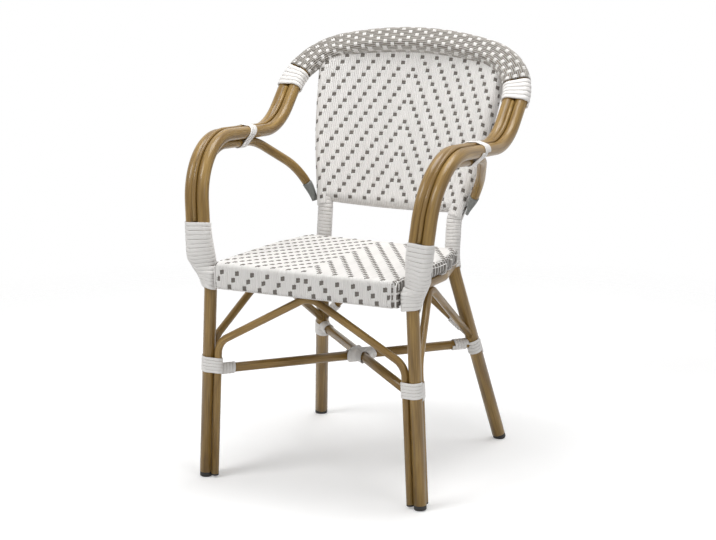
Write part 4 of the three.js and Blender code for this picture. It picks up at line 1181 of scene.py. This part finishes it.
# How the front strands lap over the band's lower edge: to the angle edge, or tooth in every 4th column
lapOver = {"edge": 0.25, "tooth": 0.68, "lift": 0.3, "level": 0.6, "least": 0.2, "rise": 3, "step": 6.0}
bandPoints = bandRoute.slice(0, bandRoute.length, lapOver["step"])
bandInner = bandPoints.points - bandPoints.normals * pairHalf


def bandDistance(points):
    # The distance to the nearest of the band's flat middles, each a run of 2 h along the normal
    offset = points[:, None] - bandInner[None]
    reach = np.clip(np.sum(offset * bandPoints.normals[None], -1), 0, 2 * pairHalf)
    return np.linalg.norm(offset - bandPoints.normals[None] * reach[..., None], axis=-1).min(1)


def lapped(points, outward, stop):
    # Past its last point the strand goes on round the band's inner side and up its front, at
    # c + r (-n cos a - b sin a) for angles a up to the stop
    offset = points[-1] - bandInner
    nearby = int(np.argmin(np.linalg.norm(offset, axis=1)))
    n, b, t = (values[nearby] for values in (bandPoints.normals, bandPoints.binormals, bandPoints.tangents))
    away = offset[nearby]
    first = math.atan2(-away @ b, -away @ n)
    if abs(t[0]) < lapOver["level"] or first > stop - lapOver["least"]:
        return points, outward
    share = np.linspace(0, 1, facets["lap"])[1:, None]
    angle = mix(first, stop, share)
    aim = -n * np.cos(angle) - b * np.sin(angle)
    reach = mix(math.hypot(away @ b, away @ n), bandRadius + lapOver["lift"], smooth(share * lapOver["rise"]))
    extra = bandInner[nearby] + t * (away @ t) + aim * reach
    return np.concatenate([points, extra]), np.concatenate([outward, aim])


upperArc = innerArm.points[:, 2] > postMiddle[2]
upperX = innerArm.points[upperArc, 0][::-1]
upperZ = innerArm.points[upperArc, 2][::-1]


def hoopTop(x, facing):
    # Where a face ends under the hoop: level with its inner tube's lower side in front, and with its
    # upper side behind
    return np.interp(x, upperX, upperZ) - facing * arm["radius"]


def columnPlace(column, height):
    return column * (back["pitch"] + back["fan"] * (height - back["firstRow"]))


def sagAt(u):
    return back["sag"] * (u / back["sagAt"]) ** 2


rowNumbers = np.arange(back["rows"])
rowHeights = back["firstRow"] + back["row"] * rowNumbers
rowOffsets = rowOffsets * back["row"] / weave["row"]
backColumns = np.arange(-back["columns"], back["columns"] + 1)
searchHeights = np.arange(back["bottom"] + 1, back["searchTop"], back["searchStep"])
searchAcross = np.arange(-back["reach"], back["reach"] + 1, 1.0)


def backWarps(facing):
    # Columns of two strands each, from the fold up to the band
    warps = []
    for column in backColumns:
        u = columnPlace(column, searchHeights)
        points, _ = onBack(u, searchHeights, back["probe"], facing)
        free = np.abs(u) < halfRound(searchHeights, facing) + back["overPost"][0]
        free &= bandDistance(points) > bandRadius - back["bandDip"]
        if free.sum() < back["least"]:
            continue
        start = searchHeights[free].min()
        low = start
        if start <= back["bottom"] + back["foldClear"]:
            low = foldHeight - backShell * math.pi / 2
        blocked = searchHeights[(searchHeights > start) & ~free]
        high = min(blocked.min() if len(blocked) else searchHeights[-1],
                   hoopTop(u[searchHeights == start][0], facing))
        if high - low < back["row"]:
            continue
        marks = rowHeights - sagAt(columnPlace(column, rowHeights))
        inside = (marks > back["bottom"]) & (marks < high)
        dots = marks[inside & isDot(rowNumbers, column)]
        height = stationsFor(marks[inside], rowOffsets, low, high)
        width = back["pitch"] + back["fan"] * (height.mean() - back["firstRow"])
        tuckShare = smooth((height - high + back["tuckOver"]) / back["tuckOver"])
        tuck = back["tuckDepth"] * tuckShare * (facing < 0)
        for half in (-0.25, 0.25):
            dips = staggered(dots, np.sign(half) * strand["backStagger"])
            level = mix(strand["high"], strand["low"],
                        dipped(height, dips, strand["backFlat"], strand["backAway"]))
            level = level + random.uniform(*strand["uneven"]) + tuck
            points, outward = onBack(columnPlace(column + half, height), height, level, facing)
            if facing > 0:
                stop = lapOver["tooth"] if column % 4 == 0 else lapOver["edge"]
                points, outward = lapped(points, outward, stop)
            warps.append(woven(points, outward, width / 2 - strand["slit"]))
    return together(warps)


def backWefts(facing):
    # Rows of two dark strands each, which sag towards the sides
    wefts = []
    for row, middle in zip(rowNumbers, rowHeights):
        marks = columnPlace(backColumns, middle - sagAt(backColumns * back["pitch"]))
        pitch = columnPlace(1, middle)
        for half in (-0.5, 0.5):
            level = middle + half * back["weft"] * back["weftApart"]
            height = level - sagAt(searchAcross)
            points, _ = onBack(searchAcross, height, back["probe"], facing)
            free = np.abs(searchAcross) < halfRound(height, facing) + back["overPost"][1]
            free &= bandDistance(points) > bandRadius - back["bandDip"] - 1
            free &= height < hoopTop(searchAcross, facing)
            if not free[back["reach"]]:
                continue
            left = searchAcross[:back["reach"]][~free[:back["reach"]]].max() + 1
            right = searchAcross[back["reach"]:][~free[back["reach"]:]].min() - 1
            distance = stationsFor(marks, overOffsets(pitch), left, right)
            up = overDots(distance, marks[isDot(row, backColumns)], pitch)
            points, outward = onBack(distance, level - sagAt(distance),
                                     mix(strand["weftLow"], strand["weftHigh"], up), facing)
            wefts.append(woven(points, outward, back["weft"] - back["weftSlit"]))
    return together(wefts)


for facing, label in ((1, "Front"), (-1, "Rear")):
    piece(f"back{label}Strands", backWarps(facing), "strand", ["back_weave"])
    piece(f"back{label}CrossStrands", backWefts(facing), "cross")
for name in ("seat_ring", "back_rail"):
    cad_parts[name].data.materials.clear()
    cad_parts[name].data.materials.append(materials["tube"])


print("floor, light and camera")

floor = {
    "drop": 0.0006, "clear": 1.1, "gone": 1.9, "half": 2.2, "colour": linear(236, 236, 236),
    "roughness": 0.9, "specular": 0.2, "glow": (0.26, 0.26, 0.26, 1.0),
}
graph = paintGraph("floor")
place = graph.node("ShaderNodeTexCoord", {}, {}, "Object")
far = graph.node("ShaderNodeVectorMath", {"operation": "LENGTH"}, {0: place}, "Value")
graph.surface({
    "Base Color": floor["colour"], "Roughness": floor["roughness"], "Specular IOR Level": floor["specular"],
    "Emission Color": graph.colour(graph.seenRays(), (0, 0, 0, 1), floor["glow"]), "Emission Strength": 1.0,
    "Alpha": ((floor["gone"] - far) / (floor["gone"] - floor["clear"])).held(),
})
corners = [(x * floor["half"], y * floor["half"], -floor["drop"])
           for x, y in ((-1, -1), (1, -1), (1, 1), (-1, 1))]
mesh = bpy.data.meshes.new("floor")
mesh.from_pydata(corners, [], [(0, 1, 2, 3)])
mesh.materials.append(materials["floor"])
ground = bpy.data.objects.new("floor", mesh)
bpy.context.scene.collection.objects.link(ground)

# The world is white where it is seen, and lights the chair at a lower level
white = (1.0, 1.0, 1.0, 1.0)
worldLight = 0.34
world = bpy.data.worlds.new("studio")
bpy.context.scene.world = world
world.use_nodes = True
graph = Graph(world.node_tree)
lit = graph.node("ShaderNodeBackground", {}, {"Color": white, "Strength": worldLight})
backdrop = graph.node("ShaderNodeBackground", {}, {"Color": white, "Strength": 1.0})
chosen = graph.node("ShaderNodeMixShader", {}, {0: graph.seenRays(), 1: lit, 2: backdrop})
graph.node("ShaderNodeOutputWorld", {}, {"Surface": chosen})


def softbox(name, place, aim, size, power):
    data = bpy.data.lights.new(name, "AREA")
    data.shape = "RECTANGLE"
    data.size = size
    data.size_y = size
    data.energy = power
    made = bpy.data.objects.new(name, data)
    bpy.context.scene.collection.objects.link(made)
    made.location = place
    made.rotation_mode = "QUATERNION"
    made.rotation_quaternion = (Vector(aim) - Vector(place)).to_track_quat("-Z", "Y")


softbox("key", (-1.35, -2.2, 3.0), (0, 0, 0.45), 1.4, 52.0)
softbox("top", (0.2, 0.3, 3.0), (0, 0, 0.4), 1.6, 51.0)
softbox("fill", (3.0, -1.6, 2.0), (0, 0, 0.5), 1.8, 20.0)

camera = {
    "lens": 98.21, "sensor": 36.0, "azimuth": math.radians(25.11), "elevation": math.radians(13.17),
    "place": (1.6428, -3.5438, 1.3106),
}
data = bpy.data.cameras.new("camera")
data.lens = camera["lens"]
data.sensor_width = camera["sensor"]
view = bpy.data.objects.new("camera", data)
bpy.context.scene.collection.objects.link(view)
view.location = camera["place"]
view.rotation_mode = "QUATERNION"
level = math.cos(camera["elevation"])
ahead = Vector((-math.sin(camera["azimuth"]) * level, math.cos(camera["azimuth"]) * level,
                -math.sin(camera["elevation"])))
view.rotation_quaternion = ahead.to_track_quat("-Z", "Y")
bpy.context.scene.camera = view
bpy.context.scene.view_settings.view_transform = "Standard"
